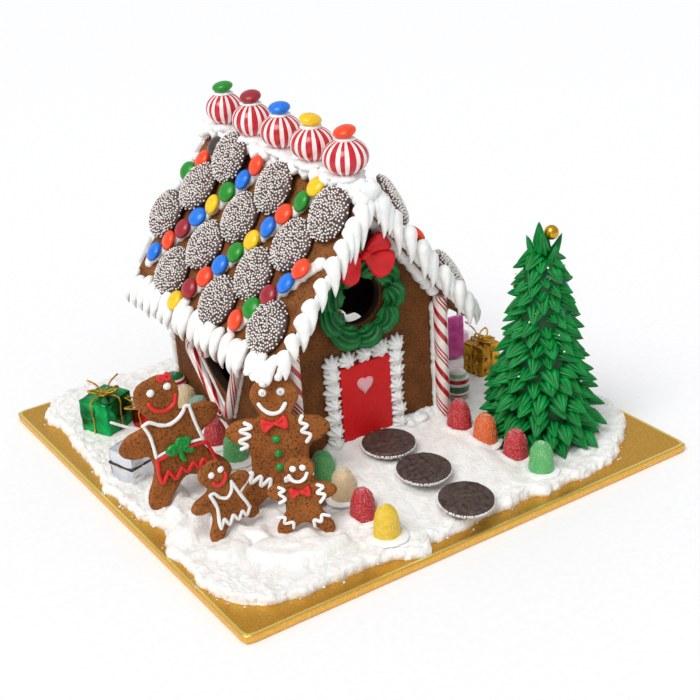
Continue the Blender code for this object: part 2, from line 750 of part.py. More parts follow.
def add_bow(material):
    """A fondant bow: a big wing and a small one above its knot, and two round lobes below."""
    outline = [
        (0.0035, 0.0050), (0.0125, 0.0118), (0.0185, 0.0060), (0.0215, -0.0025),
        (0.0228, -0.0110), (0.0160, -0.0182), (0.0080, -0.0172), (0.0030, -0.0075),
        (-0.0045, -0.0150), (-0.0125, -0.0178), (-0.0185, -0.0130), (-0.0175, -0.0030),
        (-0.0095, -0.0002), (-0.0105, 0.0085), (-0.0035, 0.0045),
    ]
    bow = add_flat_curve("bow", [outline], BOW_THICKNESS, material)
    wreath_face = HOUSE_FRONT_Y - GAP - WREATH_HEIGHT
    knot = Vector((BOW_X, wreath_face - GAP - BOW_THICKNESS / 2, BOW_Z))
    bow.matrix_world = Matrix.Translation(knot) @ Matrix.Rotation(math.pi / 2, 4, "X")


# --- sticks and canes -------------------------------------------------------------------------

def stick_place(side):
    x = HOUSE_CENTRE_X + side * (HOUSE_HALF_WIDTH + STICK_OUTBOARD)
    return x, HOUSE_FRONT_Y - STICK_RADIUS - GAP


def add_sticks(material):
    for side, word in ((-1, "left"), (1, "right")):
        height = STICK_TOP_Z - STICK_FOOT_Z
        bm = prism(14, STICK_RADIUS, STICK_FOOT_Z, height, stick_place(side))
        add_mesh(f"corner_stick_{word}", bm, material)


def cane_path(hand):
    """A candy cane's centre line beside the heart's axis: a leg, then a hook back to the axis."""
    lean = hand * CANE_HALF_ANGLE
    start = hand * CANE_FOOT_APART
    points = [(start, CANE_RADIUS * 0.5)]
    top = (start + CANE_LEG * math.sin(lean), CANE_LEG * math.cos(lean))
    for i in range(1, 3):
        points.append((start + (top[0] - start) * i / 2, points[0][1] + (top[1] - points[0][1]) * i / 2))
    centre = (top[0] - hand * CANE_HOOK_RADIUS, top[1])
    for i in range(1, 6):
        t = math.pi * i / 6
        points.append((centre[0] + hand * CANE_HOOK_RADIUS * math.cos(t),
                       centre[1] + CANE_HOOK_RADIUS * math.sin(t)))
    points.append((centre[0] - hand * CANE_HOOK_RADIUS, centre[1] - 0.002))
    return points


def add_canes(material):
    for side, word in ((-1, "left"), (1, "right")):
        x = HOUSE_CENTRE_X + side * (HOUSE_HALF_WIDTH + GAP + CANE_RADIUS)
        for hand, place in ((-1, "front"), (1, "back")):
            points = [(x, *tilted(*point)) for point in cane_path(hand)]
            add_tube(f"cane_{word}_{place}", points, CANE_RADIUS, material)


# --- people, tree, gifts and sweets -----------------------------------------------------------

def person_thickness(height):
    return ADULT_THICKNESS if height > 0.07 else CHILD_THICKNESS


def person_foot(height, place, roll):
    """Between the feet: higher the more the figure rolls over its lower foot."""
    return *place, PEOPLE_FOOT_Z + 0.24 * height * math.sin(math.radians(abs(roll)))


def person_outline(height):
    """A gingerbread person's outline: round head, stub arms and splayed legs."""
    half = (
        (0.118, 0.965), (0.168, 0.850), (0.115, 0.690), (0.325, 0.650), (0.405, 0.570),
        (0.335, 0.485), (0.215, 0.445), (0.215, 0.290), (0.325, 0.130), (0.330, 0.030),
        (0.235, 0.005), (0.130, 0.095),
    )
    right = [(x * height, y * height) for x, y in half]
    left = [(-x, y) for x, y in reversed(right)]
    return [(0, height), *right, (0, 0.175 * height), *left]


def add_people(material):
    for name, height, place, turn, lean, roll in PEOPLE:
        outline = person_outline(height)
        person = add_flat_curve(name, [outline], person_thickness(height), material)
        person.matrix_world = standing(person_foot(height, place, roll), turn, lean, roll)


def add_tree(material):
    """Tiers of piped leaves whose tips droop over the tier below, on a solid core."""
    around = 2 * TREE_LEAVES
    foot = Vector((*TREE_XY, 0))
    height = TREE_TOP_Z - TREE_FOOT_Z
    rings = [[(TREE_TRUNK_RADIUS, 0.0)] * around, [(TREE_TRUNK_RADIUS * 0.96, 0.010 / height)] * around]
    for tier in range(TREE_TIERS):
        low = 0.065 + 0.90 * tier / TREE_TIERS
        reach = TREE_RADIUS * (1 - low) ** 0.92
        inner = TREE_RADIUS * (1 - low - 0.062) ** 0.92 * 0.80
        tips = []
        for i in range(around):
            is_tip = (i + tier) % 2 == 0
            tips.append((reach if is_tip else reach * 0.86, low if is_tip else low + 0.022))
        rings.append(tips)
        rings.append([(inner, low + 0.062)] * around)
    placed = []
    for ring in rings:
        points = []
        for i, (radius, share) in enumerate(ring):
            t = 2 * math.pi * i / around
            offset = Vector((radius * math.cos(t), radius * math.sin(t), TREE_FOOT_Z + share * height))
            points.append(foot + offset)
        placed.append(points)
    tree = add_mesh("tree", ring_loft(placed, closed=False), material)
    nearest = GUMDROPS[GUMDROP_BY_TREE - 1]
    room = prism(12, GUMDROP_RADIUS + 2 * GAP, 0, snow_top(*nearest) + GUMDROP_HEIGHT, nearest)
    cut = tree.modifiers.new("gumdrop", "BOOLEAN")
    cut.operation = "DIFFERENCE"
    cut.object = add_cutter("tree_gumdrop", room)


def add_gifts(materials):
    for name, size, place, turn, tilt in GIFTS:
        gift = add_mesh(name, box(size, Vector((0, 0, size[2] / 2))), materials[name])
        gift.matrix_world = Matrix.Translation((*place, GIFT_FOOT_Z))
        gift.matrix_world @= Matrix.Rotation(math.radians(turn), 4, "Z")
        bevel = gift.modifiers.new("edge", "BEVEL")
        bevel.width = GIFT_BEVEL
        bevel.segments = 1


def add_candies(material):
    r, h = CANDY_RADIUS, CANDY_HEIGHT
    profile = ((0.55 * r, 0), (0.90 * r, 0.12 * h), (r, 0.5 * h), (0.90 * r, 0.86 * h), (0.5 * r, h))
    for name, place in CANDIES:
        add_mesh(name, turned(profile, 14, Vector((*place, GIFT_FOOT_Z))), material)


def add_gumdrops(material):
    r, h = GUMDROP_RADIUS, GUMDROP_HEIGHT
    profile = ((0.93 * r, 0), (r, 0.14 * h), (0.88 * r, 0.62 * h), (0.60 * r, 0.90 * h), (0.22 * r, h))
    for index, place in enumerate(GUMDROPS, 1):
        foot = Vector((*place, snow_top(*place) - SINK))
        add_mesh(f"gumdrop_{index:02d}", turned(profile, 9, foot), material)


# --- the whole --------------------------------------------------------------------------------

def add_board(material):
    centre = Vector((0, 0, BOARD_THICKNESS / 2))
    board = add_mesh("board", box((BOARD_SIDE, BOARD_SIDE, BOARD_THICKNESS), centre), material)
    bevel = board.modifiers.new("edge", "BEVEL")
    bevel.width = BOARD_EDGE_BEVEL
    bevel.segments = 1


def build():
    gold = make_material("gold_foil", (0.60, 0.36, 0.07), 0.35, 0.8)
    icing = make_material("royal_icing", (0.90, 0.90, 0.88), 0.55)
    gingerbread = make_material("gingerbread", (0.22, 0.09, 0.03), 0.75)
    figures = make_material("gingerbread_figures", (0.26, 0.11, 0.04), 0.75)
    chocolate = make_material("nonpareil_chocolate", (0.08, 0.05, 0.04), 0.5)
    mint = make_material("peppermint", (0.80, 0.25, 0.25), 0.2)
    red = make_material("red_fondant", (0.60, 0.02, 0.03), 0.5)
    green = make_material("green_icing", (0.01, 0.22, 0.07), 0.45)
    jelly = make_material("gumdrop_sugar", (0.65, 0.15, 0.12), 0.5)
    foil = {
        "gift_green": make_material("green_foil", (0.01, 0.40, 0.14), 0.2, 0.9),
        "gift_silver": make_material("silver_foil", (0.72, 0.73, 0.74), 0.2, 0.9),
        "gift_gold": make_material("gift_gold_foil", (0.62, 0.40, 0.06), 0.2, 0.9),
        "packet_pink": make_material("pink_wrapper", (0.70, 0.18, 0.42), 0.35),
    }
    add_board(gold)
    add_snow(icing)
    add_walls(gingerbread)
    for side, word in ((-1, "left"), (1, "right")):
        add_roof(f"roof_{word}", side, gingerbread)
        add_icicles(f"icicles_{word}", side, icing)
        for row, (start, offset, count, rest) in enumerate(DISC_ROWS, 1):
            name = f"nonpareils_{word}_{row}"
            add_disc_row(name, side, start, offset, count, rest, chocolate)
    add_ridge_icing(icing)
    add_ridge_balls(mint)
    add_door(red)
    add_door_border(icing)
    add_wreath(green)
    add_bow(red)
    add_sticks(mint)
    add_canes(mint)
    add_people(figures)
    add_tree(green)
    add_gifts(foil)
    add_candies(mint)
    add_gumdrops(jelly)
    add_stones(chocolate)


clear_scene()
PARTS = new_collection("gingerbread_house")
CUTTERS = new_collection("cutters")
build()
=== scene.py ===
"""The looks of a gingerbread house on its gold board: icing, gingerbread, sweets, figures and gifts.

Units are metres and +Z is up, in the CAD model's own frame. The door faces -Y. Every piece stands
where its CAD node stands, and adds the fine surface that the node leaves out.
"""

import contextlib
import math
import random

import bmesh
import bpy
from mathutils import Matrix, Vector, noise


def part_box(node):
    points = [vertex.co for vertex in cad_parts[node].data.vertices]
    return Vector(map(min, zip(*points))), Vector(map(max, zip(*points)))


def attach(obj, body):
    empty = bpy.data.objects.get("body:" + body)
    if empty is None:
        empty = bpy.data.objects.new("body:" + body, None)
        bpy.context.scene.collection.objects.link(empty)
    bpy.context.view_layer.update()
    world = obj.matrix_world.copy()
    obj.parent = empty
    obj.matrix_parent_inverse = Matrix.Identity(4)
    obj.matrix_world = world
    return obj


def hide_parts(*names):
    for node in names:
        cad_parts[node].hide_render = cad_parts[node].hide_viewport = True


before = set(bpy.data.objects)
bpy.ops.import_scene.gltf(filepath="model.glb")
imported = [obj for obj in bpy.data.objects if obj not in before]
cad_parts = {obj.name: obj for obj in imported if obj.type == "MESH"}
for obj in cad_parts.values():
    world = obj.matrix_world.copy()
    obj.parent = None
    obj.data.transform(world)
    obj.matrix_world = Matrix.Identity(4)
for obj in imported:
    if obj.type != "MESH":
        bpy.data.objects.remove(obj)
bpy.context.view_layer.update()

# The noise vectors are drawn from this seed, so every run gives the same surface
noise.seed_set(7)

UP = Vector((0, 0, 1))
AHEAD = Vector((0, -1, 0))
SIDES = ((-1, "left"), (1, "right"))
MM = 0.001

# Board and house, as the CAD model has them
BOARD_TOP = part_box("board")[1].z
HALF_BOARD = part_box("board")[1].x
HOUSE_X = -0.009
HALF_HOUSE = 0.058
FRONT_Y = -0.060
BACK_Y = 0.1145
WALL = 0.007
PITCH = math.radians(52)
ROOF_THICKNESS = 0.007
SLOPE_LENGTH = 0.1325
ROOF_FRONT_Y = -0.075
ROOF_BACK_Y = 0.130
ROOF_ENDS = ((ROOF_FRONT_Y, -1), (ROOF_BACK_Y, 1))
RIDGE_Z = 0.2075
GAP = 0.0003

# Openings
WREATH = Vector((-0.0125, FRONT_Y - GAP, 0.131))
WINDOW_RADIUS = 0.0175
HEART_TIP = (0.033, 0.025)
HEART_TILT = math.radians(11)

# Snow
SNOW_DEPTH = 0.006
BANK_HEIGHT = 0.018
BANK_LEFT = (-0.062, -0.044)
BANK_RIGHT = (0.042, 0.070)
BANK_SLOPE = (0.035, 0.115)
SNOW_CELLS = 238
EDGE_FALL = 0.0045
LIP_DEPTH = 0.0010
CORNER_REACH = 0.020
# How much of the board is bare along each side, as (place along the side, width)
LEFT_MARGIN = (
    (-0.178, 0.010), (-0.152, 0.006), (-0.137, 0.003), (-0.110, 0.007), (-0.094, 0.002),
    (-0.078, 0.008), (-0.064, 0.0146), (-0.036, 0.008), (0.014, 0.0044), (0.052, 0.0103),
    (0.100, 0.013), (0.132, 0.0173), (0.147, 0.0115), (0.178, 0.0175),
)
FRONT_MARGIN = (
    (-0.178, 0.027), (-0.157, 0.0186), (-0.132, 0.0132), (-0.111, 0.014), (-0.097, 0.0126),
    (-0.074, 0.0143), (-0.056, 0.011), (-0.049, 0.005), (-0.039, 0.0015), (-0.030, 0.003),
    (-0.023, 0.012), (-0.013, 0.0088), (0.012, 0.0106), (0.031, 0.014), (0.055, 0.0117),
    (0.076, 0.0149), (0.088, 0.0085), (0.115, 0.0116), (0.130, 0.010), (0.178, 0.014),
)
RIGHT_MARGIN = (
    (-0.178, 0.046), (-0.166, 0.040), (-0.147, 0.018), (-0.136, 0.0078), (-0.113, 0.0022),
    (-0.040, 0.003), (0.030, 0.004), (0.100, 0.006), (0.178, 0.010),
)
BACK_MARGIN = (
    (-0.178, 0.010), (-0.163, 0.003), (-0.150, 0.001), (0.010, 0.001), (0.090, 0.004),
    (0.140, 0.003), (0.178, 0.012),
)
# Smooth dollops of icing round the figures: middle (x, y), half sizes, turn in degrees, height
DOLLOPS = (
    (-0.1080, -0.1280, 0.0330, 0.0170, -24, 0.0050),
    (-0.1440, -0.1000, 0.0150, 0.0120, -20, 0.0042),
    (-0.1500, -0.0560, 0.0150, 0.0270, -18, 0.0062),
    (-0.1150, -0.0930, 0.0170, 0.0190, 20, 0.0056),
    (-0.1450, -0.0170, 0.0120, 0.0160, 10, 0.0060),
    (-0.0760, -0.1210, 0.0130, 0.0150, 30, 0.0032),
    (-0.1290, -0.0740, 0.0140, 0.0150, 0, 0.0052),
)
# Heaps of icing at the front corners of the house: middle (x, y), reach, height
CORNER_HEAPS = ((-0.0685, -0.0653, 0.0075, 0.0050), (0.0505, -0.0653, 0.0075, 0.0050))
CRUMBS = 220

# Sweets on the roof
DISC_RADIUS = 0.0187
DISC_THICKNESS = 0.0065
DISC_STEP = 0.0283
# How far the rows run along the ridge for each metre down the slope
RUN_BACK = 0.8
# Each row of discs: first distance down the slope, place along the ridge, discs, height off the roof
DISC_ROWS = (
    (0.0160, 0.0640, 3, 0.0034), (0.0222, -0.0045, 4, 0.0012),
    (0.0227, -0.0735, 4, 0.0012), (0.1050, -0.1345, 1, 0.0012),
)
LENTIL_RADIUS = 0.0076
LENTIL_HALF = 0.0037
LENTIL_STEP = 0.0125
# Each line of lentils: first distance down the slope, place along the ridge, colours
LENTIL_LINES = (
    (0.0130, 0.0910, ("brown", "orange", "green")),
    (0.0140, 0.0300, ("orange", "blue", "green", "yellow", "blue", "maroon", "orange", "blue")),
    (0.0105, -0.0410, ("yellow", "green", "orange", "blue", "yellow",
                       "green", "blue", "orange", "maroon", "yellow")),
    (0.0620, -0.1090, ("orange", "blue", "maroon", "green", "orange")),
)
BALL_LENTILS = ("orange", "yellow", "blue", "maroon", "green")
BALL_RADII = (0.0153, 0.0149, 0.0145, 0.0141, 0.0137)
BALL_HALF = 0.0118
BALL_FIRST_Y = -0.0502
BALL_SPACING = 0.0394
BALL_Z = 0.2255

# Icicles
RAKE_SPACING = 0.0128
RIGHT_RAKE_SPACING = 0.0150
EAVE_SPACING = 0.0112

# Door
DOOR_LOW, DOOR_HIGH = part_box("door")
BORDER_WIDTH = 0.0115
STAR_RADIUS = 0.0076
BOW_KNOT = Vector((-0.0137, -0.0726, 0.1665))

# Figures: height, foot (x, y), turn about Z, lean back, roll to the left
PEOPLE = {
    "mother": (0.089, (-0.1317, -0.0297), -6, 6, 11),
    "father": (0.084, (-0.0935, -0.0800), -34, 10, 1.5),
    "girl": (0.055, (-0.1297, -0.0851), 3, 2, 16),
    "boy": (0.055, (-0.0952, -0.1136), -37, 2, 2),
}
PEOPLE_FOOT_Z = BOARD_TOP + 0.0040
# Figures taller than this are baked thicker
GROWN_UP = 0.07

# Tree
TREE = Vector((0.106, -0.106, 0.0095))
TREE_HEIGHT = 0.150

GIFT_FOOT_Z = 0.0105
CANDY_HEIGHT = 0.0250
GUMDROP_RADIUS = 0.0088
GUMDROP_HEIGHT = 0.0240
# Gumdrops: middle of the foot, colour, whether the top is pointed
GUMDROPS = (
    (0.0505, -0.0838, "red", False), (0.0567, -0.1045, "orange", False),
    (0.0655, -0.1265, "red", False), (0.0682, -0.1497, "green", False),
    (-0.0570, -0.0990, "beige", False), (-0.0594, -0.1250, "red", False),
    (-0.0589, -0.1505, "yellow", False), (-0.0560, -0.0725, "green", False),
    (-0.0860, -0.0060, "green", False), (-0.0845, 0.0255, "red", True),
    (-0.0790, 0.0600, "teal", False), (-0.0790, 0.0800, "beige", False),
)
SUGAR_GRAINS = 520
# Path discs: middle, and tilt in degrees
STONES = (((-0.0087, -0.0823), 1), ((-0.0068, -0.1192), 3), ((-0.0005, -0.1556), 6))
STONE_RADIUS = 0.0182
STONE_THICKNESS = 0.0062
GUMDROP_SINK = 0.0015


# --- looks ------------------------------------------------------------------------------------

def tone(red, green, blue):
    """A colour given in screen values from 0 to 255, as the linear light a shader takes."""
    linear = []
    for value in (red, green, blue):
        share = value / 255
        linear.append(share / 12.92 if share <= 0.04045 else ((share + 0.055) / 1.055) ** 2.4)
    return (*linear, 1.0)


class Look:
    """A procedural material: a colour that drifts over the surface, specks, and layers of relief.

    Colours are given in screen values from 0 to 255.
    """

    def __init__(self, name, roughness, **sockets):
        self.material = bpy.data.materials.new(name)
        self.material.use_nodes = True
        self.nodes = self.material.node_tree.nodes
        self.links = self.material.node_tree.links
        self.shader = self.nodes["Principled BSDF"]
        self.shader.inputs["Roughness"].default_value = roughness
        for socket, value in sockets.items():
            self.shader.inputs[socket.replace("_", " ")].default_value = value
        self.place = self.nodes.new("ShaderNodeTexCoord").outputs["Object"]
        self.colour = None
        self.normal = None

    def node(self, kind, **values):
        """A new node with the given values on its sockets; an underscore stands for a space."""
        node = self.nodes.new(f"ShaderNode{kind}")
        for socket, value in values.items():
            node.inputs[socket.replace("_", " ")].default_value = value
        return node

    def texture(self, kind, scale, detail=3.0, stretch=None):
        """A value from 0 to 1 that changes over about 1 / scale metres."""
        place = self.place
        if stretch:
            mapping = self.node("Mapping", Scale=stretch)
            self.links.new(place, mapping.inputs["Vector"])
            place = mapping.outputs["Vector"]
        node = self.node(f"Tex{kind}", Scale=scale)
        if kind == "Noise":
            node.inputs["Detail"].default_value = detail
        self.links.new(place, node.inputs["Vector"])
        return node.outputs["Distance" if kind == "Voronoi" else "Fac"]

    def drift(self, scale, dark, light, detail=4.0, low=0.35, high=0.65):
        """The base colour wanders between two tones."""
        node = self.node("ValToRGB")
        for element, position, colour in zip(node.color_ramp.elements, (low, high), (dark, light)):
            element.position = position
            element.color = tone(*colour)
        self.links.new(self.texture("Noise", scale, detail), node.inputs["Fac"])
        self.colour = node.outputs["Color"]
        return self

    def specks(self, kind, scale, colour, start, end, strength=1.0, detail=2.0):
        """Spots of another colour where the texture lies between start and end."""
        spread = self.node("MapRange", From_Min=start, From_Max=end, To_Max=strength)
        self.links.new(self.texture(kind, scale, detail), spread.inputs["Value"])
        mix = self.nodes.new("ShaderNodeMix")
        mix.data_type = "RGBA"
        self.links.new(spread.outputs["Result"], mix.inputs["Factor"])
        self.links.new(self.colour, mix.inputs["A"])
        mix.inputs["B"].default_value = tone(*colour)
        self.colour = mix.outputs["Result"]
        return self

    def relief(self, kind, scale, depth, detail=3.0, stretch=None):
        """Raises and lowers the surface by about depth metres."""
        bump = self.node("Bump", Distance=depth, Strength=1.0)
        self.links.new(self.texture(kind, scale, detail, stretch), bump.inputs["Height"])
        if self.normal:
            self.links.new(self.normal, bump.inputs["Normal"])
        self.normal = bump.outputs["Normal"]
        return self

    def dull(self, scale, low, high):
        """Gloss that varies from place to place."""
        spread = self.node("MapRange", To_Min=low, To_Max=high)
        self.links.new(self.texture("Noise", scale), spread.inputs["Value"])
        self.links.new(spread.outputs["Result"], self.shader.inputs["Roughness"])
        return self

    def done(self):
        self.links.new(self.colour, self.shader.inputs["Base Color"])
        if self.normal:
            self.links.new(self.normal, self.shader.inputs["Normal"])
        return self.material


def icing_look(name, dark, light, depth, roughness):
    look = Look(name, roughness, Subsurface_Weight=0.15, Subsurface_Scale=0.003)
    look.drift(120, dark, light)
    look.relief("Noise", 420, depth, 5.0)
    return look.relief("Noise", 1900, depth * 0.3, 2.0).done()


def gingerbread_look(name, dark, light):
    look = Look(name, 0.82, Specular_IOR_Level=0.25)
    look.drift(75, dark, light, 6.0, 0.30, 0.70)
    look.specks("Noise", 700, (52, 27, 10), 0.52, 0.66, 0.8, 4.0)
    look.specks("Noise", 900, (186, 126, 70), 0.58, 0.72, 0.45, 3.0)
    look.relief("Noise", 420, 0.0009, 6.0)
    return look.relief("Noise", 1200, 0.0004, 3.0).done()


def candy_look(name, colour, darker, roughness=0.22, coat=0.5):
    look = Look(name, roughness, Coat_Weight=coat, Coat_Roughness=0.08)
    look.drift(260, darker, colour, 3.0, 0.30, 0.60)
    return look.relief("Noise", 300, 0.00012, 2.0).done()


def jelly_look(name, colour, darker):
    look = Look(name, 0.45, Subsurface_Weight=0.35, Subsurface_Scale=0.004)
    look.drift(240, darker, colour)
    look.specks("Noise", 1500, (255, 240, 232), 0.58, 0.66, 0.32)
    return look.relief("Voronoi", 1400, 0.0004).done()


def foil_look(name, colour, darker):
    look = Look(name, 0.22, Metallic=0.9)
    # The colour drifts in broad blotches down to a much darker tone: painted dark reflections in the crinkled
    # foil
    look.drift(60, darker, colour)
    look.relief("Voronoi", 90, 0.0012, stretch=(1, 1, 0.5))
    return look.relief("Noise", 270, 0.00036).done()


def plain_look(name, colour, darker, roughness, scale=200, depth=0.0001, specular=0.5, metallic=0.0):
    look = Look(name, roughness, Specular_IOR_Level=specular, Metallic=metallic)
    look.drift(scale, darker, colour)
    return look.relief("Noise", scale * 5, depth).done()


def board_look(name, low, high, glint):
    look = Look(name, 0.34, Metallic=0.85)
    look.drift(1500, low, high, 5.0)
    # Specks of painted glint scattered over the foil
    look.specks("Noise", 700, glint, 0.56, 0.66, 0.45)
    look.relief("Noise", 1400, 0.00018, 4.0)
    return look.dull(500, 0.26, 0.46).done()


def stone_look(name):
    """Chocolate that lay face down: scuffed, cracked and dull."""
    look = Look(name, 0.5)
    look.drift(340, (46, 33, 30), (92, 72, 66), 6.0, 0.34, 0.66)
    look.specks("Noise", 900, (128, 108, 100), 0.58, 0.70, 0.45, 4.0)
    look.relief("Noise", 260, 0.0014, 5.0)
    return look.relief("Noise", 800, 0.0007, 4.0).done()


# Each maker of looks, and what it is given for each look after the name, in its arguments' order
LOOK_TABLES = (
    (board_look, {
        "gold_foil": ((204, 146, 40), (228, 176, 66), (250, 214, 120)),
        # Painted light: the side is a lighter gold than the top, and the rim strip is a bright painted
        # highlight
        "gold_foil_side_lit": ((222, 166, 66), (240, 190, 92), (250, 214, 130)),
        "gold_foil_rim_highlight": ((250, 224, 110), (254, 236, 150), (255, 246, 190)),
    }),
    (icing_look, {
        "snow": ((240, 238, 234), (255, 254, 252), 0.0009, 0.62),
        "icing": ((240, 240, 238), (254, 254, 252), 0.00022, 0.5),
        "foot_icing": ((244, 242, 238), (255, 254, 252), 0.0001, 0.45),
    }),
    (gingerbread_look, {
        # The walls' gingerbread is painted darker than the roof's as shade on the upright walls; the roof's
        # is a lit copy
        "gingerbread": ((100, 57, 22), (128, 76, 34)),
        "roof_gingerbread_lit": ((118, 70, 32), (152, 95, 48)),
        "cookie": ((136, 77, 32), (168, 100, 46)),
    }),
    (candy_look, {
        "mint_red": ((205, 14, 34), (176, 8, 26), 0.28, 0.35),
        "mint_white": ((252, 240, 238), (246, 220, 220), 0.30, 0.35),
        "stick_red": ((190, 24, 34), (160, 16, 28)),
        "stick_white": ((248, 236, 230), (236, 216, 210)),
        "band_green": ((14, 112, 56), (8, 84, 40)),
        "band_pale": ((150, 206, 168), (110, 184, 136)),
    }),
    (foil_look, {
        # The second colour of each foil is its painted dark reflection
        "green_foil": ((30, 190, 100), (6, 92, 44)),
        "red_foil": ((222, 26, 38), (150, 8, 18)),
        "silver_foil": ((232, 234, 238), (206, 210, 218)),
        "gift_gold": ((216, 164, 50), (132, 86, 14)),
    }),
    (stone_look, {"chocolate_base": ()}),
    (plain_look, {
        # Painted shade for the walls' inner faces and the rims of their openings
        "gingerbread_inside_shade": ((48, 27, 14), (34, 19, 10), 0.9),
        "chocolate": ((84, 62, 56), (66, 47, 43), 0.42, 200, 0.0003),
        "sugar_bead": ((250, 246, 242), (232, 224, 218), 0.45),
        "sugar_grain": ((255, 252, 250), (240, 236, 232), 0.25),
        "sugar_pearl": ((206, 208, 208), (178, 182, 184), 0.3),
        "green_icing": ((12, 158, 70), (5, 122, 50), 0.42, 140, 0.00015, 0.25),
        # Painted shade: the tree's core, seen in the gaps between the leaves
        "green_core_shade": ((5, 86, 36), (3, 60, 24), 0.6),
        # Painted shade down one side of each leaf's valleys
        "leaf_groove_shade": ((4, 104, 44), (2, 80, 32), 0.5),
        "wreath": ((10, 122, 52), (4, 94, 36), 0.38, 140, 0.0001, 0.4),
        # Painted shade for the valleys between the wreath's ridges
        "wreath_groove_shade": ((4, 84, 34), (2, 62, 24), 0.5),
        "red_fondant": ((222, 20, 24), (208, 15, 20), 0.50, 300, 0.00008, 0.3),
        "bow_fondant": ((224, 22, 30), (204, 14, 24), 0.42, 120, 0.0001, 0.35),
        "pink_icing": ((240, 180, 188), (232, 166, 176), 0.35),
        "red_icing": ((232, 44, 42), (214, 34, 34), 0.35),
        "green_button": ((24, 160, 66), (14, 132, 50), 0.28),
        "gold_ball": ((226, 178, 60), (196, 140, 36), 0.25, 200, 0.0001, 0.5, 0.9),
        "gold_cord": ((240, 192, 70), (200, 144, 36), 0.3, 900, 0.0002, 0.5, 0.85),
        "pink_wrapper": ((250, 224, 234), (244, 204, 222), 0.3),
        "magenta_print": ((214, 92, 168), (190, 64, 146), 0.35),
        "black_ribbon": ((34, 34, 36), (20, 20, 22), 0.3),
    }),
)
LENTIL_COLOURS = {
    "brown": (60, 44, 40), "orange": (255, 70, 12), "green": (6, 144, 18),
    "blue": (0, 122, 238), "yellow": (255, 206, 0), "maroon": (160, 16, 36),
}
JELLY_COLOURS = {
    "red": (198, 22, 36), "orange": (232, 104, 30), "green": (92, 190, 108),
    "yellow": (246, 206, 40), "beige": (228, 202, 158), "teal": (120, 168, 150),
}


def darker(colour, share):
    return [value * share for value in colour]


def make_looks():
    looks = {key: make(f"{key}_look", *row) for make, table in LOOK_TABLES for key, row in table.items()}
    for word, colour in LENTIL_COLOURS.items():
        key = f"lentil_{word}"
        looks[key] = candy_look(f"{key}_look", colour, darker(colour, 0.88), 0.36, 0.22)
    for word, colour in JELLY_COLOURS.items():
        key = f"jelly_{word}"
        looks[key] = jelly_look(f"{key}_look", colour, darker(colour, 0.93))
        pale = [value + 0.68 * (255 - value) for value in colour]
        looks[f"{word}_sugar"] = plain_look(f"{word}_sugar_look", pale, colour, 0.22)
    return looks


# --- mesh building ----------------------------------------------------------------------------

@contextlib.contextmanager
def opened(mesh):
    """The mesh open for editing; the changes go back to it at the end."""
    bm = bmesh.new()
    bm.from_mesh(mesh)
    yield bm
    bm.to_mesh(mesh)
    bm.free()


def place_in_scene(obj):
    bpy.context.scene.collection.objects.link(obj)
    return obj


class Form:
    """Points and faces gathered for one piece, with a look for each face."""

    def __init__(self, *looks):
        self.looks = looks
        self.points = []
        self.faces = []
        self.inks = []

    def add(self, points, faces, ink=0):
        base = len(self.points)
        self.points.extend(points)
        self.faces.extend([tuple(base + i for i in face) for face in faces])
        self.inks.extend([ink] * len(faces))

    def loft(self, rings, ink=0, closed=False, strips=None, capped=True):
        """Rings of points joined in turn; strips gives a look for each lengthwise strip."""
        around = len(rings[0])
        rows = len(rings)
        base = len(self.points)
        self.points.extend([point for ring_points in rings for point in ring_points])
        for row in range(rows if closed else rows - 1):
            first = base + row * around
            second = base + (row + 1) % rows * around
            for i in range(around):
                j = (i + 1) % around
                self.faces.append((first + i, first + j, second + j, second + i))
                self.inks.append(strips[i % len(strips)] if strips else ink)
        if capped and not closed:
            last = base + (rows - 1) * around
            self.faces.append(tuple(base + i for i in reversed(range(around))))
            self.faces.append(tuple(last + i for i in range(around)))
            self.inks.extend([ink, ink])
        return base

    def fan(self, first, around, tip, ink=0, strips=None, backwards=False):
        """Closes the ring that starts at point number first with triangles to a tip."""
        index = len(self.points)
        self.points.append(tip)
        for i in range(around):
            edge = (first + i, first + (i + 1) % around)
            self.faces.append((*(reversed(edge) if backwards else edge), index))
            self.inks.append(strips[i % len(strips)] if strips else ink)

    def blob(self, centre, x_axis, y_axis, z_axis, ink=0, rings=7, sides=14, wobble=0.0, strips=None):
        """A ball squeezed along three axes, with an uneven surface if wobble is given."""
        rows = []
        for row in range(1, rings + 1):
            polar = math.pi * row / (rings + 1)
            around = []
            for i in range(sides):
                turn = 2 * math.pi * i / sides
                spot = centre - z_axis * math.cos(polar)
                spot += (x_axis * math.cos(turn) + y_axis * math.sin(turn)) * math.sin(polar)
                if wobble:
                    spot += (spot - centre) * noise.noise(spot * 240) * wobble
                around.append(spot)
            rows.append(around)
        base = self.loft(rows, ink, strips=strips, capped=False)
        self.fan(base, sides, centre - z_axis, ink, strips, backwards=True)
        self.fan(base + (rings - 1) * sides, sides, centre + z_axis, ink, strips)

    def lump(self, centre, sizes, ink=0, **more):
        """A blob with its half sizes along X, Y and Z."""
        x, y, z = sizes
        self.blob(centre, Vector((x, 0, 0)), Vector((0, y, 0)), Vector((0, 0, z)), ink, **more)

    def piece(self, name, nodes=(), sharp=None):
        """The gathered faces as one object that rides on the house and stands for CAD nodes."""
        mesh = bpy.data.meshes.new(name)
        mesh.from_pydata(self.points, [], self.faces)
        for look in self.looks:
            mesh.materials.append(LOOKS[look])
        mesh.polygons.foreach_set("material_index", self.inks)
        with opened(mesh) as bm:
            bmesh.ops.recalc_face_normals(bm, faces=bm.faces)
        return settle(name, mesh, nodes, sharp)


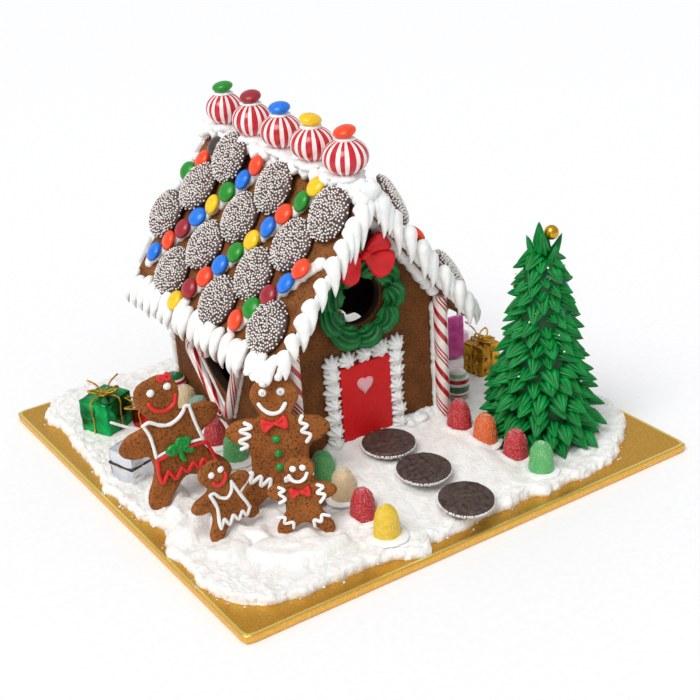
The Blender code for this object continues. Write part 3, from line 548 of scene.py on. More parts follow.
def shade(mesh, sharp=None):
    """Smooth all over, but for edges sharper than an angle in degrees."""
    mesh.shade_smooth()
    if sharp:
        mesh.set_sharp_from_angle(angle=math.radians(sharp))


def settle(name, mesh, nodes=(), sharp=None):
    """Links a finished mesh, shades it, and hides the CAD nodes it stands for."""
    shade(mesh, sharp)
    obj = place_in_scene(bpy.data.objects.new(name, mesh))
    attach(obj, "root")
    if nodes:
        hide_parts(*nodes)
    return obj


def compass(turn):
    """The level direction at a turn from +X, and the one a quarter turn on."""
    return (Vector((math.cos(turn), math.sin(turn), 0)), Vector((-math.sin(turn), math.cos(turn), 0)))


def ring(centre, across, over, sides, turn=0.0, shape=None):
    """Points round a centre; shape gives each one's share of the radius."""
    points = []
    for i in range(sides):
        t = 2 * math.pi * i / sides
        share = shape(t) if shape else 1.0
        points.append(centre + (across * math.cos(t + turn) + over * math.sin(t + turn)) * share)
    return points


def level_ring(centre, radius, sides):
    return ring(centre, Vector((radius, 0, 0)), Vector((0, radius, 0)), sides)


def smooth_path(points, steps, cyclic=False):
    """A Catmull-Rom curve through the points, with steps points from one to the next."""
    count = len(points)
    path = []
    for i in range(count if cyclic else count - 1):
        if cyclic:
            a, b, c, d = (points[(i + k - 1) % count] for k in range(4))
        else:
            a, b = points[max(i - 1, 0)], points[i]
            c, d = points[i + 1], points[min(i + 2, count - 1)]
        for step in range(steps):
            t = step / steps
            path.append(0.5 * (2 * b + (c - a) * t + (2 * a - 5 * b + 4 * c - d) * t * t
                               + (3 * b - a - 3 * c + d) * t ** 3))
    if not cyclic:
        path.append(points[-1].copy())
    return path


def tube(form, path, radii, sides=10, ink=0, up=UP, flat=1.0, twist=0.0, shape=None, strips=None,
         wobble=0.0):
    """A tube of changing radius along a path. Its section keeps to up, is flattened by flat,
    turns by twist for each metre, and may be ridged."""
    rings = []
    over = None
    travelled = 0.0
    for i, (place, radius) in enumerate(zip(path, radii)):
        along = (path[min(i + 1, len(path) - 1)] - path[max(i - 1, 0)]).normalized()
        if i:
            travelled += (place - path[i - 1]).length
        guide = over if over else up
        over = guide - along * guide.dot(along)
        if over.length < 1e-6:
            over = along.orthogonal()
        over.normalize()
        across = over.cross(along)
        section = ring(place, across * radius, over * radius * flat, sides, twist * travelled, shape)
        if wobble:
            section = [spot + (spot - place) * noise.noise(spot * 320) * wobble for spot in section]
        rings.append(section)
    form.loft(rings, ink, strips=strips)


def rounding(share, least):
    """The radius of a round end at a share of the way in from its tip."""
    return max(least, math.sqrt(1 - (1 - share) ** 2))


def piped(form, path, radius, ink=0, sides=10, up=UP, flat=1.0, wobble=0.10):
    """A piped line of icing with rounded ends."""
    dense = smooth_path(path, 6)
    start = (dense[1] - dense[0]).normalized()
    end = (dense[-1] - dense[-2]).normalized()
    shares = (0.0, 0.12, 0.35, 0.70)
    places = [dense[0] - start * radius * (1 - share) for share in shares]
    places += dense
    places += [dense[-1] + end * radius * (1 - share) for share in reversed(shares)]
    cap = [radius * rounding(share, 0.18) for share in shares]
    radii = cap + [radius * (1 + wobble * noise.noise(place * 260)) for place in dense] + cap[::-1]
    tube(form, places, radii, sides, ink, up, flat)


def teardrop(form, path, radius, ink=0, sides=12, up=AHEAD, flat=0.85, steps=4, point=0.05, shape=None,
             strips=None, wobble=0.06):
    """A piped drop: a fat rounded root that thins to a tip."""
    root = 0.27
    dense = smooth_path(path, steps)
    last = len(dense) - 1
    radii = []
    for i in range(last + 1):
        share = i / last
        if share < root:
            radii.append(radius * rounding(share / root, 0.12))
        else:
            radii.append(radius * (point + (1 - point) * (1 - ((share - root) / (1 - root)) ** 1.25)))
    tube(form, dense, radii, sides, ink, up, flat, shape=shape, strips=strips, wobble=wobble)


def ridged(count, depth):
    """The section of icing pressed through a star tip: sharp ridges and valleys in turn."""

    def shape(t):
        share = count * t / (2 * math.pi) % 1
        return 1 - depth * (1 - abs(2 * share - 1))

    return shape


CUSHION = ((1.0, 0.0), (1.0, 0.55), (0.93, 0.85), (0.7, 0.97), (0.35, 1.0))


def pillow(form, outline, place, height, ink=0, crown=CUSHION):
    """A flat-backed cushion over an outline; place maps (x, y, z) of its own frame to the world."""
    middle = sum(outline, Vector((0, 0))) / len(outline)
    form.loft([[place(*(middle + (spot - middle) * share), height * lift) for spot in outline]
               for share, lift in crown], ink)


def smooth_step(low, high, value):
    t = min(1.0, max(0.0, (value - low) / (high - low)))
    return t * t * (3 - 2 * t)


# --- snow and board ---------------------------------------------------------------------------

def between(table, place):
    """A value at a place, read along straight lines between the table's points."""
    for (x0, y0), (x1, y1) in zip(table, table[1:]):
        if place <= x1:
            share = min(1.0, max(0.0, (place - x0) / (x1 - x0)))
            return y0 + share * (y1 - y0)
    return table[-1][1]


def snow_top(x, y):
    """Height of the snow's even coat, banked up in front of the gable as a path."""
    ahead = FRONT_Y - y
    if ahead > 0:
        rise = 0.28 * math.exp(-ahead / 0.010) + 0.72 * (1 - smooth_step(*BANK_SLOPE, ahead))
    else:
        rise = 1 - smooth_step(0, 0.030, -ahead)
    across = smooth_step(*BANK_LEFT, x) * (1 - smooth_step(*BANK_RIGHT, x))
    swell = 0.0007 * math.sin(x * 61) * math.cos(y * 53 + 1)
    return BOARD_TOP + SNOW_DEPTH + swell + BANK_HEIGHT * rise * across


def hump(distance, reach):
    return math.exp(-(distance / reach) ** 2)


def dollop_height(x, y):
    """Overlapping strokes of smooth icing, each with a steep rounded edge."""
    best = 0.0
    for middle_x, middle_y, half_x, half_y, turn, height in DOLLOPS:
        dx, dy = x - middle_x, y - middle_y
        if max(abs(dx), abs(dy)) > 0.045:
            continue
        c, s = math.cos(math.radians(turn)), math.sin(math.radians(turn))
        a, b = (dx * c + dy * s) / half_x, (dy * c - dx * s) / half_y
        reach = math.hypot(a, b) * (1 + 0.22 * noise.noise(Vector((x * 48, y * 48, middle_x * 90))))
        if reach < 1:
            curl = 1 + 0.10 * math.sin(7 * reach + 2 * math.atan2(b, a))
            best = max(best, 1.15 * height * curl * math.sqrt(1 - reach ** 7))
    return best


def wall_distance(x, y):
    """How far a place lies outside the house's walls; negative inside."""
    return max(abs(x - HOUSE_X) - HALF_HOUSE, FRONT_Y - y, y - BACK_Y)


def figure_heaps():
    """Small heaps at the figures' feet, in the form of CORNER_HEAPS."""
    heaps = []
    for word in PEOPLE:
        person = Person(word)
        for leg in (-0.28, 0.28):
            foot = person.spot(leg, 0.03, -person.thickness / 2)
            heaps.append((foot.x, foot.y, 0.0065, 0.0012))
    return heaps


def foot_height(x, y):
    """Icing piled against the walls and round everything that stands in the snow."""
    spot = Vector((x * 130, y * 130, 3))
    outside = wall_distance(x, y)
    rise = 0.0
    if -0.004 < outside < 0.016:
        rise += 0.0042 * hump(outside - 0.001, 0.0052) * (0.75 + 0.6 * noise.noise(spot))
    for centre_x, centre_y, _colour, _pointed in GUMDROPS:
        distance = math.hypot(x - centre_x, y - centre_y)
        if distance < 0.016:
            rise += 0.0024 * hump(distance - 0.0102, 0.0019) + 0.0006 * (distance < 0.0090)
    for centre, _tilt in STONES:
        distance = math.dist((x, y), centre)
        if distance < 0.026:
            rise += 0.0010 * hump(distance - 0.0196, 0.0016) * (0.7 + noise.noise(spot))
    for centre_x, centre_y, reach, height in (*CORNER_HEAPS, *FIGURE_HEAPS):
        distance = math.hypot(x - centre_x, y - centre_y)
        if distance < 3 * reach:
            rise += height * hump(distance, reach) * (0.9 + 0.5 * noise.noise(spot))
    return rise


def grain(x, y, smooth):
    """Crumbs and spatula marks, fainter where the icing is smooth."""
    spot = Vector((x, y, 0))
    crumbs = 0.0007 * noise.noise(spot * 190) + 0.0006 * noise.noise(spot * 420 + UP)
    crumbs += 0.0005 * noise.noise(spot * 900)
    lumps = 0.0013 * max(0.0, noise.noise(spot * 105 + UP * 5) - 0.10)
    pits = 0.0016 * max(0.0, noise.noise(spot * 170 + UP * 9) - 0.34)
    stroke = 0.0015 * abs(noise.noise(Vector((x * 28 + y * 55, y * 150 - x * 75, 4))))
    even = 0.00016 * noise.noise(spot * 330)
    return (1 - smooth) * (crumbs + lumps - pits) + smooth * even - stroke * (1 - 0.55 * smooth)


def path_share(x, y):
    """1 on the path before the door and 0 away from it."""
    ahead = smooth_step(0.004, 0.012, FRONT_Y - y) * (1 - smooth_step(0.080, 0.105, FRONT_Y - y))
    return ahead * smooth_step(-0.062, -0.048, x) * (1 - smooth_step(0.052, 0.066, x))


def foot_room(x, y):
    """0 at the feet of the figures and 1 away from them, so that no dollop buries a foot."""
    nearest = min(math.hypot(x - centre_x, y - centre_y) for centre_x, centre_y, _, _ in FIGURE_HEAPS)
    return smooth_step(0.006, 0.015, nearest)


def snow_surface(x, y, edge):
    """The finished height at a place that lies edge metres inside the snow's outline."""
    dollop = dollop_height(x, y) * foot_room(x, y)
    smooth = max(path_share(x, y), min(1.0, dollop / 0.0015))
    inner = smooth_step(0.002, 0.012, edge)
    height = snow_top(x, y) - BOARD_TOP + (dollop + foot_height(x, y)) * inner
    height += grain(x, y, smooth)
    fall = EDGE_FALL * (1 + 0.45 * noise.noise(Vector((x * 150, y * 150, 11))))
    share = min(1.0, edge / fall)
    return BOARD_TOP - LIP_DEPTH + max(0.0, height + LIP_DEPTH) * math.sqrt(1 - (1 - share) ** 2)


def ragged(place, salt):
    """Large and small bites out of an edge."""
    return sum(depth * noise.noise(Vector((place * scale, salt, layer)))
               for depth, scale, layer in ((0.0020, 60, 0), (0.0017, 150, 2), (0.0005, 420, 5)))


def kept_on_board(value, gap):
    limit = HALF_BOARD - gap
    return min(limit, max(-limit, value))


def snow_place(u, v):
    """A place in plan for u and v from -1 to 1 across the board, and its distance from the edge."""
    left, right = (between(table, v * HALF_BOARD) for table in (LEFT_MARGIN, RIGHT_MARGIN))
    front, back = (between(table, u * HALF_BOARD) for table in (FRONT_MARGIN, BACK_MARGIN))
    width = 2 * HALF_BOARD - left - right
    depth = 2 * HALF_BOARD - front - back
    gaps = ((u + 1) / 2 * width, (1 - u) / 2 * width, (v + 1) / 2 * depth, (1 - v) / 2 * depth)
    bites = [math.exp(-gap / 0.010) for gap in gaps]
    x = -HALF_BOARD + left + gaps[0]
    y = -HALF_BOARD + front + gaps[2]
    x += ragged(y, 1) * bites[0] - ragged(y, 2) * bites[1]
    y += ragged(x, 3) * bites[2] - ragged(x, 4) * bites[3]
    near, next_near = sorted(gaps)[:2]
    corner = math.hypot(max(0.0, CORNER_REACH - near), max(0.0, CORNER_REACH - next_near))
    edge = max(0.0, CORNER_REACH - corner) if next_near < CORNER_REACH else near
    return kept_on_board(x, 0.0006), kept_on_board(y, 0.0006), edge


def crumble(spot, edge):
    """Shifts a point of the snow's lip every way, so that the lip is craggy and not fluted."""
    fade = math.exp(-edge / 0.006) * min(1.0, max(0.0, (spot.z - BOARD_TOP) / 0.001))
    moved = spot + (noise.noise_vector(spot * 200) * 0.0022 + noise.noise_vector(spot * 520) * 0.0012) * fade
    return Vector((kept_on_board(moved.x, GAP), kept_on_board(moved.y, GAP), moved.z))


def add_snow():
    """A grid of points, closer together at the rim, over a flat base."""
    form = Form("snow")
    ticks = [2 * i / SNOW_CELLS - 1 for i in range(SNOW_CELLS + 1)]
    shares = [1.3 * tick - 0.3 * tick ** 3 for tick in ticks]
    count = len(shares)
    for v in shares:
        for u in shares:
            x, y, edge = snow_place(u, v)
            form.points.append(crumble(Vector((x, y, snow_surface(x, y, edge))), edge))
    last = count - 1
    for row in range(last):
        for first in range(row * count, row * count + last):
            form.faces.append((first, first + 1, first + count + 1, first + count))
    rim = [i for i in range(last)] + [row * count + last for row in range(last)]
    rim += [last * count + i for i in range(last, 0, -1)] + [row * count for row in range(last, 0, -1)]
    form.faces.append(tuple(reversed(rim)))
    form.inks = [0] * len(form.faces)
    form.piece("snow_icing", ["snow"])


def add_crumbs():
    """Loose lumps of icing on the bare board and along the snow's edge."""
    chance = random.Random(11)
    form = Form("snow")
    for _ in range(CRUMBS):
        along = chance.uniform(-0.99, 0.99)
        side = chance.randrange(4)
        x, y, _edge = snow_place(*((-1, along), (1, along), (along, -1), (along, 1))[side])
        away = chance.expovariate(700) - 0.0010
        x += (-away, away, 0, 0)[side]
        y += (0, 0, -away, away)[side]
        size = min(0.0010, 0.00022 + chance.expovariate(4200))
        if max(abs(x), abs(y)) > HALF_BOARD - size:
            continue
        form.lump(Vector((x, y, BOARD_TOP + size * 0.55)), (size, size * 0.8, size * 0.7), rings=3,
                  sides=6, wobble=0.9)
    form.piece("snow_crumbs")


def board_ring(inset, z):
    """The board's outline at a height, with small rounded corners and a faint ripple."""
    steps = 60
    half = HALF_BOARD - inset
    points = []
    for quarter in range(4):
        out, along = compass(math.pi / 2 * quarter)
        for i in range(steps):
            share = -1 + 2 * i / steps
            ray = out + along * share
            corner = max(0.0, abs(share) - 0.9925) / 0.0075
            place = ray * half - ray * 0.0012 * corner * corner
            ripple = 0.00022 * noise.noise(place * 60 + UP * 3)
            points.append(place + out * min(0.0, ripple) + UP * z)
    return points


def add_board():
    """The board in gold foil, folded over a soft edge with a fine raised fold at the rim."""
    # The rim strip is a painted highlight in bright gold, and the side is painted a lighter gold than the top
    # as light
    form = Form("gold_foil_side_lit", "gold_foil_rim_highlight", "gold_foil")
    low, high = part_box("board")
    side = ((0.0010, low.z), (0.0002, low.z + 0.0006), (0.0, low.z + 0.0014), (0.0, high.z - 0.0016),
            (0.00015, high.z - 0.0007), (0.0007, high.z - 0.0001))
    rim = (side[-1], (0.0014, high.z), (0.0024, high.z - 0.00012))
    top = (rim[-1], (0.0040, high.z - 0.00015))
    for ink, profile in enumerate((side, rim, top)):
        rings = [board_ring(*step) for step in profile]
        base = form.loft(rings, ink, capped=False)
    around = len(rings[0])
    form.faces.append(tuple(base + around + i for i in range(around)))
    form.faces.append(tuple(reversed(range(around))))
    form.inks.extend([2, 0])
    form.piece("foil_board", ["board"], sharp=50)


# --- house ------------------------------------------------------------------------------------

def down_slope(side):
    return Vector((side * math.cos(PITCH), 0, -math.sin(PITCH)))


def off_slope(side):
    return Vector((side * math.sin(PITCH), 0, math.cos(PITCH)))


def roof_place(side, down, y, above=0.0):
    """A point on a roof slope: down from the ridge, at y, and above the gingerbread."""
    return Vector((HOUSE_X, y, RIDGE_Z)) + down * down_slope(side) + above * off_slope(side)


def roof_under_z(distance):
    return RIDGE_Z - abs(distance) * math.tan(PITCH) - ROOF_THICKNESS / math.cos(PITCH)


def slab_mesh(outlines, thickness, edge):
    """A flat slab with rounded edges and with holes, drawn in XY about Z = 0."""
    curve = bpy.data.curves.new("slab", "CURVE")
    curve.dimensions = "2D"
    curve.fill_mode = "BOTH"
    curve.extrude = thickness / 2 - edge
    curve.bevel_depth = edge
    curve.offset = -edge
    curve.bevel_resolution = 2
    for outline in outlines:
        spline = curve.splines.new("POLY")
        spline.points.add(len(outline) - 1)
        for point, spot in zip(spline.points, outline):
            point.co = (spot[0], spot[1], 0, 1)
        spline.use_cyclic_u = True
    return mesh_of(curve)


def mesh_of(data, *modifiers):
    """The evaluated mesh of a curve or mesh with modifiers of the given kinds and settings."""
    obj = place_in_scene(bpy.data.objects.new("working", data))
    for kind, settings in modifiers:
        modifier = obj.modifiers.new(kind, kind)
        for setting, value in settings.items():
            setattr(modifier, setting, value)
    bpy.context.view_layer.update()
    graph = bpy.context.evaluated_depsgraph_get()
    mesh = bpy.data.meshes.new_from_object(obj.evaluated_get(graph))
    bpy.data.objects.remove(obj, do_unlink=True)
    return mesh


def is_opening(face, outlines, matrix):
    """Whether a face lies on the rim of a hole, the outlines after the first."""
    spot = (matrix.inverted() @ face.calc_center_median()).to_2d()
    for outline in outlines[1:]:
        middle = sum((Vector(point) for point in outline), Vector((0, 0))) / len(outline)
        reach = max((Vector(point) - middle).length for point in outline)
        if (spot - middle).length < reach + 0.001:
            return True
    return False


def dress_in(mesh, *looks):
    mesh.materials.clear()
    for look in looks:
        mesh.materials.append(LOOKS[look])


def slab(name, outlines, matrix, node):
    """A gingerbread wall, painted dark as shade on its inner face and in its openings."""
    mesh = slab_mesh(outlines, WALL, 0.0007)
    mesh.transform(matrix)
    # The walls take the darker copy of the gingerbread, painted shade
    dress_in(mesh, "gingerbread", "gingerbread_inside_shade")
    middle = Vector((HOUSE_X, (FRONT_Y + BACK_Y) / 2, 0.08))
    thin = (matrix.to_3x3() @ UP).normalized()
    with opened(mesh) as bm:
        bmesh.ops.remove_doubles(bm, verts=bm.verts, dist=1e-6)
        bmesh.ops.recalc_face_normals(bm, faces=bm.faces)
        for face in bm.faces:
            facing = abs(face.normal.dot(thin))
            inner = facing > 0.9 and face.normal.dot(middle - face.calc_center_median()) > 0
            # Inner faces and the rims of the openings take the painted shade
            if inner or (facing < 0.3 and is_opening(face, outlines, matrix)):
                face.material_index = 1
    settle(name, mesh, [node], sharp=40)


def tilted(across, up):
    """A place beside the heart's own axis, as wall coordinates (Y, Z)."""
    c, s = math.cos(HEART_TILT), math.sin(HEART_TILT)
    return HEART_TIP[0] + across * c + up * s, HEART_TIP[1] - across * s + up * c


def turns(count):
    return [2 * math.pi * i / count for i in range(count)]


def heart_window():
    return [tilted(0.0245 * math.sin(t) ** 3,
                   0.0355 + 0.0168 * (math.cos(t) - 0.32 * math.cos(2 * t) - 0.10 * math.cos(3 * t)))
            for t in turns(56)]


def add_walls():
    foot = BOARD_TOP + 0.0033
    shoulder = roof_under_z(HALF_HOUSE) - GAP
    left, right = HOUSE_X - HALF_HOUSE, HOUSE_X + HALF_HOUSE
    gable = [(left, foot), (right, foot), (right, shoulder), (HOUSE_X, roof_under_z(0) - GAP),
             (left, shoulder)]
    window = [(WREATH.x + WINDOW_RADIUS * math.cos(t), WREATH.z + WINDOW_RADIUS * math.sin(t))
              for t in turns(48)]
    stand = Matrix.Rotation(math.pi / 2, 4, "X")
    for word, y, outlines in (("front", FRONT_Y + WALL / 2, [gable, window]),
                              ("back", BACK_Y - WALL / 2, [gable])):
        slab(f"{word}_gable", outlines, Matrix.Translation((0, y, 0)) @ stand, f"wall_{word}")
    low, high = FRONT_Y + WALL + GAP, BACK_Y - WALL - GAP
    outlines = [[(low, foot), (high, foot), (high, shoulder), (low, shoulder)], heart_window()]
    stand = Matrix.Rotation(math.pi / 2, 4, "Z") @ stand
    for side, word in SIDES:
        x = HOUSE_X + side * (HALF_HOUSE - WALL / 2)
        slab(f"{word}_side_wall", outlines, Matrix.Translation((x, 0, 0)) @ stand, f"wall_{word}")


def add_roof():
    for side, word in SIDES:
        outline = (roof_place(side, 0, 0), roof_place(side, SLOPE_LENGTH, 0),
                   roof_place(side, SLOPE_LENGTH, 0, -ROOF_THICKNESS),
                   Vector((HOUSE_X, 0, roof_under_z(0))))
        # The roof takes a lighter copy of the gingerbread, painted light on the slopes that face up
        form = Form("roof_gingerbread_lit")
        form.loft([[spot + Vector((side * GAP / 2, y, 0)) for spot in outline]
                   for y in (ROOF_FRONT_Y, ROOF_BACK_Y)])
        mesh = form.piece(f"{word}_roof_panel", [f"roof_{word}"]).data
        with opened(mesh) as bm:
            bmesh.ops.bevel(bm, geom=bm.edges, offset=0.0008, segments=2, profile=0.5, affect="EDGES")
        shade(mesh, 40)


def marks(first, end, step):
    """Distances in metres, every step millimetres from first to before end."""
    return [value * MM for value in range(first, end, step)]


def add_seams():
    """Piped ropes of icing in the corners and under the roof, where the panels are stuck together."""
    form = Form("icing")
    for y, out in ((FRONT_Y, -1), (BACK_Y, 1)):
        for side in (-1, 1):
            corner = HOUSE_X + side * (HALF_HOUSE - 0.0012)
            path = [Vector((corner, y + out * 0.0014, z)) for z in marks(14, 118, 8)]
            piped(form, path, 0.0032, up=AHEAD, wobble=0.35)
            path = [roof_place(side, down, y + out * 0.0022, -ROOF_THICKNESS - 0.0012)
                    for down in marks(6, 104, 4)]
            piped(form, path, 0.0046, wobble=0.45)
    for side in (-1, 1):
        x = HOUSE_X + side * (HALF_HOUSE + 0.0018)
        path = [Vector((x, y, roof_under_z(HALF_HOUSE) - 0.0016)) for y in marks(-56, 112, 8)]
        piped(form, path, 0.0026, wobble=0.35)
    form.piece("seam_icing")


# --- icing on the roof ------------------------------------------------------------------------

def edge_runs(side):
    """The roof panel's free edges: the front rake, the eave and the back rake. For each: start,
    direction, length, the way out over the edge, how far the drops start up the panel, how far
    they hang, their spacing and how high their heads stand."""
    down = down_slope(side)
    clear = 0.013
    rake = SLOPE_LENGTH - clear - 0.012
    front_spacing = RAKE_SPACING if side < 0 else RIGHT_RAKE_SPACING
    return (
        (roof_place(side, clear, ROOF_FRONT_Y), down, rake, AHEAD, 0.0, 0.0200, front_spacing, 1.0),
        (roof_place(side, SLOPE_LENGTH, ROOF_FRONT_Y + 0.003), -AHEAD, ROOF_BACK_Y - ROOF_FRONT_Y - 0.006,
         down, 0.0135, 0.0130, EAVE_SPACING, 1.0),
        (roof_place(side, SLOPE_LENGTH - 0.008, ROOF_BACK_Y), -down, rake, -AHEAD, 0.0, 0.0190,
         RAKE_SPACING, 0.2),
    )


def icicle(form, place, out, normal, start, length, radius, sway, lift=1.0):
    """A drop down to a point, pulled from start metres up the panel or, at 0, hung on its edge."""
    level = Vector((out.x, out.y, 0)).normalized()
    if start:
        path = [place - out * start + normal * 0.0014 * lift,
                place - out * start * 0.45 + normal * 0.0032 * lift,
                place + level * 0.0026 - UP * 0.0012]
    else:
        path = [place - level * 0.0006 + UP * 0.0052 * lift,
                place + level * 0.0014 + UP * 0.0034 * lift,
                place + level * 0.0032 - UP * 0.0006]
    for ahead, share, swayed in ((0.0042, 0.33, 0.2), (0.0042, 0.67, 0.6), (0.0032, 1.0, 1.0)):
        fall = 0.0012 + (length - 0.0012) * share
        path.append(place + level * ahead - UP * fall + sway * swayed)
    teardrop(form, path, radius, up=normal, flat=0.72, steps=4, sides=16, point=0.03, wobble=0.12)


def hang_icicles(form, side, edge, run, chance):
    """A row of drops along one edge. Those on the right slope's front rake are stouter, and those
    over the father's head are cut short. The back rake's first one lies up the panel."""
    first, along, length, out, start, hang, spacing, lift = run
    normal = off_slope(side)
    front, eave, back = (edge == k for k in range(3))
    wide = side == 1 and front
    count = round(length / spacing)
    for i in range(count + 1):
        share = (i + chance.uniform(-0.16, 0.16)) / count
        place = first + along * length * min(1.0, max(0.0, share))
        over_father = side == -1 and place.z < 0.106 and place.y < -0.050
        radius = (0.0052 if eave else 0.0054) * chance.uniform(0.88, 1.12) * (1.3 if wide else 1)
        drop = hang * chance.uniform(0.80, 1.16) * (1.08 - 0.35 * share if front else 1)
        drop = min(drop, 0.0046) if over_father else drop * (1.1 if wide else 1)
        sway = along * chance.uniform(-0.0014, 0.0020)
        first_back = back and i == 0
        reach = (0.007 if first_back else start) * chance.uniform(0.85, 1.2)
        icicle(form, place, out, normal, reach, drop, radius, sway, 1.0 if first_back else lift)
        if chance.random() < (0.4 if wide else 0.12):
            beside = place + along * spacing * 0.45
            icicle(form, beside, out, normal, reach * 0.6, drop * 0.72, radius * 0.80, sway, lift)


def add_icicles():
    chance = random.Random(5)
    for side, word in SIDES:
        form = Form("icing")
        for edge, run in enumerate(edge_runs(side)):
            hang_icicles(form, side, edge, run, chance)
        for y, way in ROOF_ENDS:
            line = [roof_place(side, down, y + way * 0.0008, -ROOF_THICKNESS * 0.52)
                    for down in marks(3, 132, 5)]
            radius = 0.0034 if side * way == 1 else 0.0042
            piped(form, line, radius, up=Vector((0, way, 0)), flat=0.55, wobble=0.4)
        form.piece(f"icicle_fringe_{word}", [f"icicles_{word}"])


# Lumps of icing at each end of the ridge, in millimetres from its tip: across, out, up and radius
RIDGE_END = ((0, 2.0, 2.5, 6.2), (-6.5, 1.5, -4.0, 5.0), (6.5, 1.5, -4.0, 5.0),
             (-2.5, -2.5, 5.0, 4.6), (3.0, -4.0, 4.2, 4.4))


def add_ridge():
    """Shells of icing piped up to the ridge from both sides, and a heap at each end."""
    chance = random.Random(3)
    form = Form("icing")
    for side in (-1, 1):
        y = ROOF_FRONT_Y + 0.004
        while y < ROOF_BACK_Y - 0.003:
            low = roof_place(side, 0.0056 * chance.uniform(0.7, 1.3), y, 0.0016)
            high = roof_place(side, 0.0010, y + 0.0070, 0.0058)
            path = [low, (low + high) / 2 + off_slope(side) * 0.0014, high]
            teardrop(form, path, 0.0055 * chance.uniform(0.82, 1.18), up=-AHEAD, flat=0.92, steps=5,
                     sides=18, point=0.45, wobble=0.32)
            y += 0.0120 * chance.uniform(0.85, 1.15)
        spine = [Vector((HOUSE_X + side * 0.001, y, RIDGE_Z + 0.0015)) for y in marks(-75, 130, 6)]
        piped(form, spine, 0.0032, wobble=0.3)
    for y, out in ROOF_ENDS:
        for across, ahead, above, radius in RIDGE_END:
            centre = Vector((HOUSE_X, y, RIDGE_Z)) + Vector((across, out * ahead, above)) * MM
            form.lump(centre, (radius * MM, radius * 0.9 * MM, radius * 0.9 * MM), wobble=0.35)
        for side in (-1, 1):
            icicle(form, roof_place(side, 0.0060, y), Vector((0, out, 0)), off_slope(side), 0.0070,
                   0.0170, 0.0054, Vector())
    form.piece("ridge_shells", ["ridge_icing"])


def add_balls():
    """Striped peppermint balls, each on a seat of icing with a collar and a lentil on top."""
    chance = random.Random(8)
    white, red, icing, first_lentil = range(4)
    form = Form("mint_white", "mint_red", "icing", *[f"lentil_{word}" for word in BALL_LENTILS])
    stripes = (red, red, red, white, white, red, red, white, white)
    for index, radius in enumerate(BALL_RADII):
        centre = Vector((HOUSE_X, BALL_FIRST_Y + index * BALL_SPACING, BALL_Z))
        across, over = (way * radius for way in compass(chance.uniform(0, math.pi)))
        lean = chance.uniform(-0.05, 0.05)
        pole = Vector((math.sin(lean), math.sin(lean * 0.7), 1)).normalized() * BALL_HALF
        form.blob(centre, across, over, pole, white, rings=17, sides=63, strips=stripes)
        form.lump(centre - UP * (BALL_HALF + 0.0016), (0.0118, 0.0122, 0.0046), icing, sides=26,
                  wobble=0.35)
        top = centre + pole
        form.lump(top - UP * 0.0004, (0.0072, 0.0072, 0.0019), icing, sides=24, wobble=0.22)
        tip = Vector((chance.uniform(-0.26, 0.10), chance.uniform(-0.24, 0.10), 1))
        lentil(form, top + UP * 0.0042, tip, first_lentil + index)
    form.piece("peppermint_balls", [f"peppermint_{i + 1}" for i in range(len(BALL_RADII))])


def lentil(form, centre, normal, ink):
    """A candy lentil lying square to normal."""
    normal = normal.normalized()
    across = normal.orthogonal().normalized()
    over = normal.cross(across)
    form.blob(centre, across * LENTIL_RADIUS, over * LENTIL_RADIUS, normal * LENTIL_HALF, ink,
              rings=9, sides=22)


def lentil_rise(side, y, first):
    """How far a lentil's middle stands off the roof: most at the right slope's raised front."""
    if side == 1 and y < ROOF_FRONT_Y + 0.022:
        return 0.0092
    return 0.0078 if first else 0.0058


def add_lentils():
    """Lines of lentils stuck on piped icing, both slopes alike."""
    chance = random.Random(21)
    colours = list(LENTIL_COLOURS)
    form = Form("icing", *[f"lentil_{word}" for word in colours])
    for side in (-1, 1):
        normal = off_slope(side)
        for start, offset, words in LENTIL_LINES:
            end = start + (len(words) - 1) * LENTIL_STEP + 0.010
            path = []
            down = start - 0.009
            while down < end:
                sway = 0.0008 * noise.noise(Vector((down * 90, offset * 50, side)))
                path.append(roof_place(side, down, offset + RUN_BACK * down + sway, 0.0012))
                down += 0.005
            piped(form, path, 0.0042, up=normal, flat=0.70, wobble=0.5)
            for i, word in enumerate(words):
                down = start + i * LENTIL_STEP
                y = offset + RUN_BACK * down + chance.uniform(-0.0006, 0.0006)
                tip = normal + Vector([chance.uniform(-0.16, 0.16) for _ in range(3)])
                lentil(form, roof_place(side, down, y, lentil_rise(side, y, i == 0)), tip,
                       1 + colours.index(word))
    form.piece("roof_lentils")


# --- chocolate discs --------------------------------------------------------------------------

# A disc's section from its flat side to its crown: shares of the radius and of the thickness
DISC_FLAT = (0.10, 0.26, 0.42, 0.57, 0.70, 0.81, 0.90)
DISC_CROWN = (0.97, 0.92, 0.82, 0.65, 0.4, 0.12)
RIM_SHARE = 0.22
BEAD_GAP = 0.00158


def bead(form, centre, normal, radius, turn, ink):
    """A sugar bead sunk to its waist in chocolate: a six-sided dome."""
    across = normal.orthogonal().normalized()
    over = normal.cross(across)
    rings = [ring(centre + normal * radius * lift, across * radius * share, over * radius * share, 6, turn)
             for share, lift in ((0.86, -0.45), (1.0, 0.10), (0.72, 0.72))]
    base = form.loft(rings, ink, capped=False)
    form.faces.append(tuple(base + i for i in reversed(range(6))))
    form.inks.append(ink)
    form.fan(base + 12, 6, centre + normal * radius, ink)


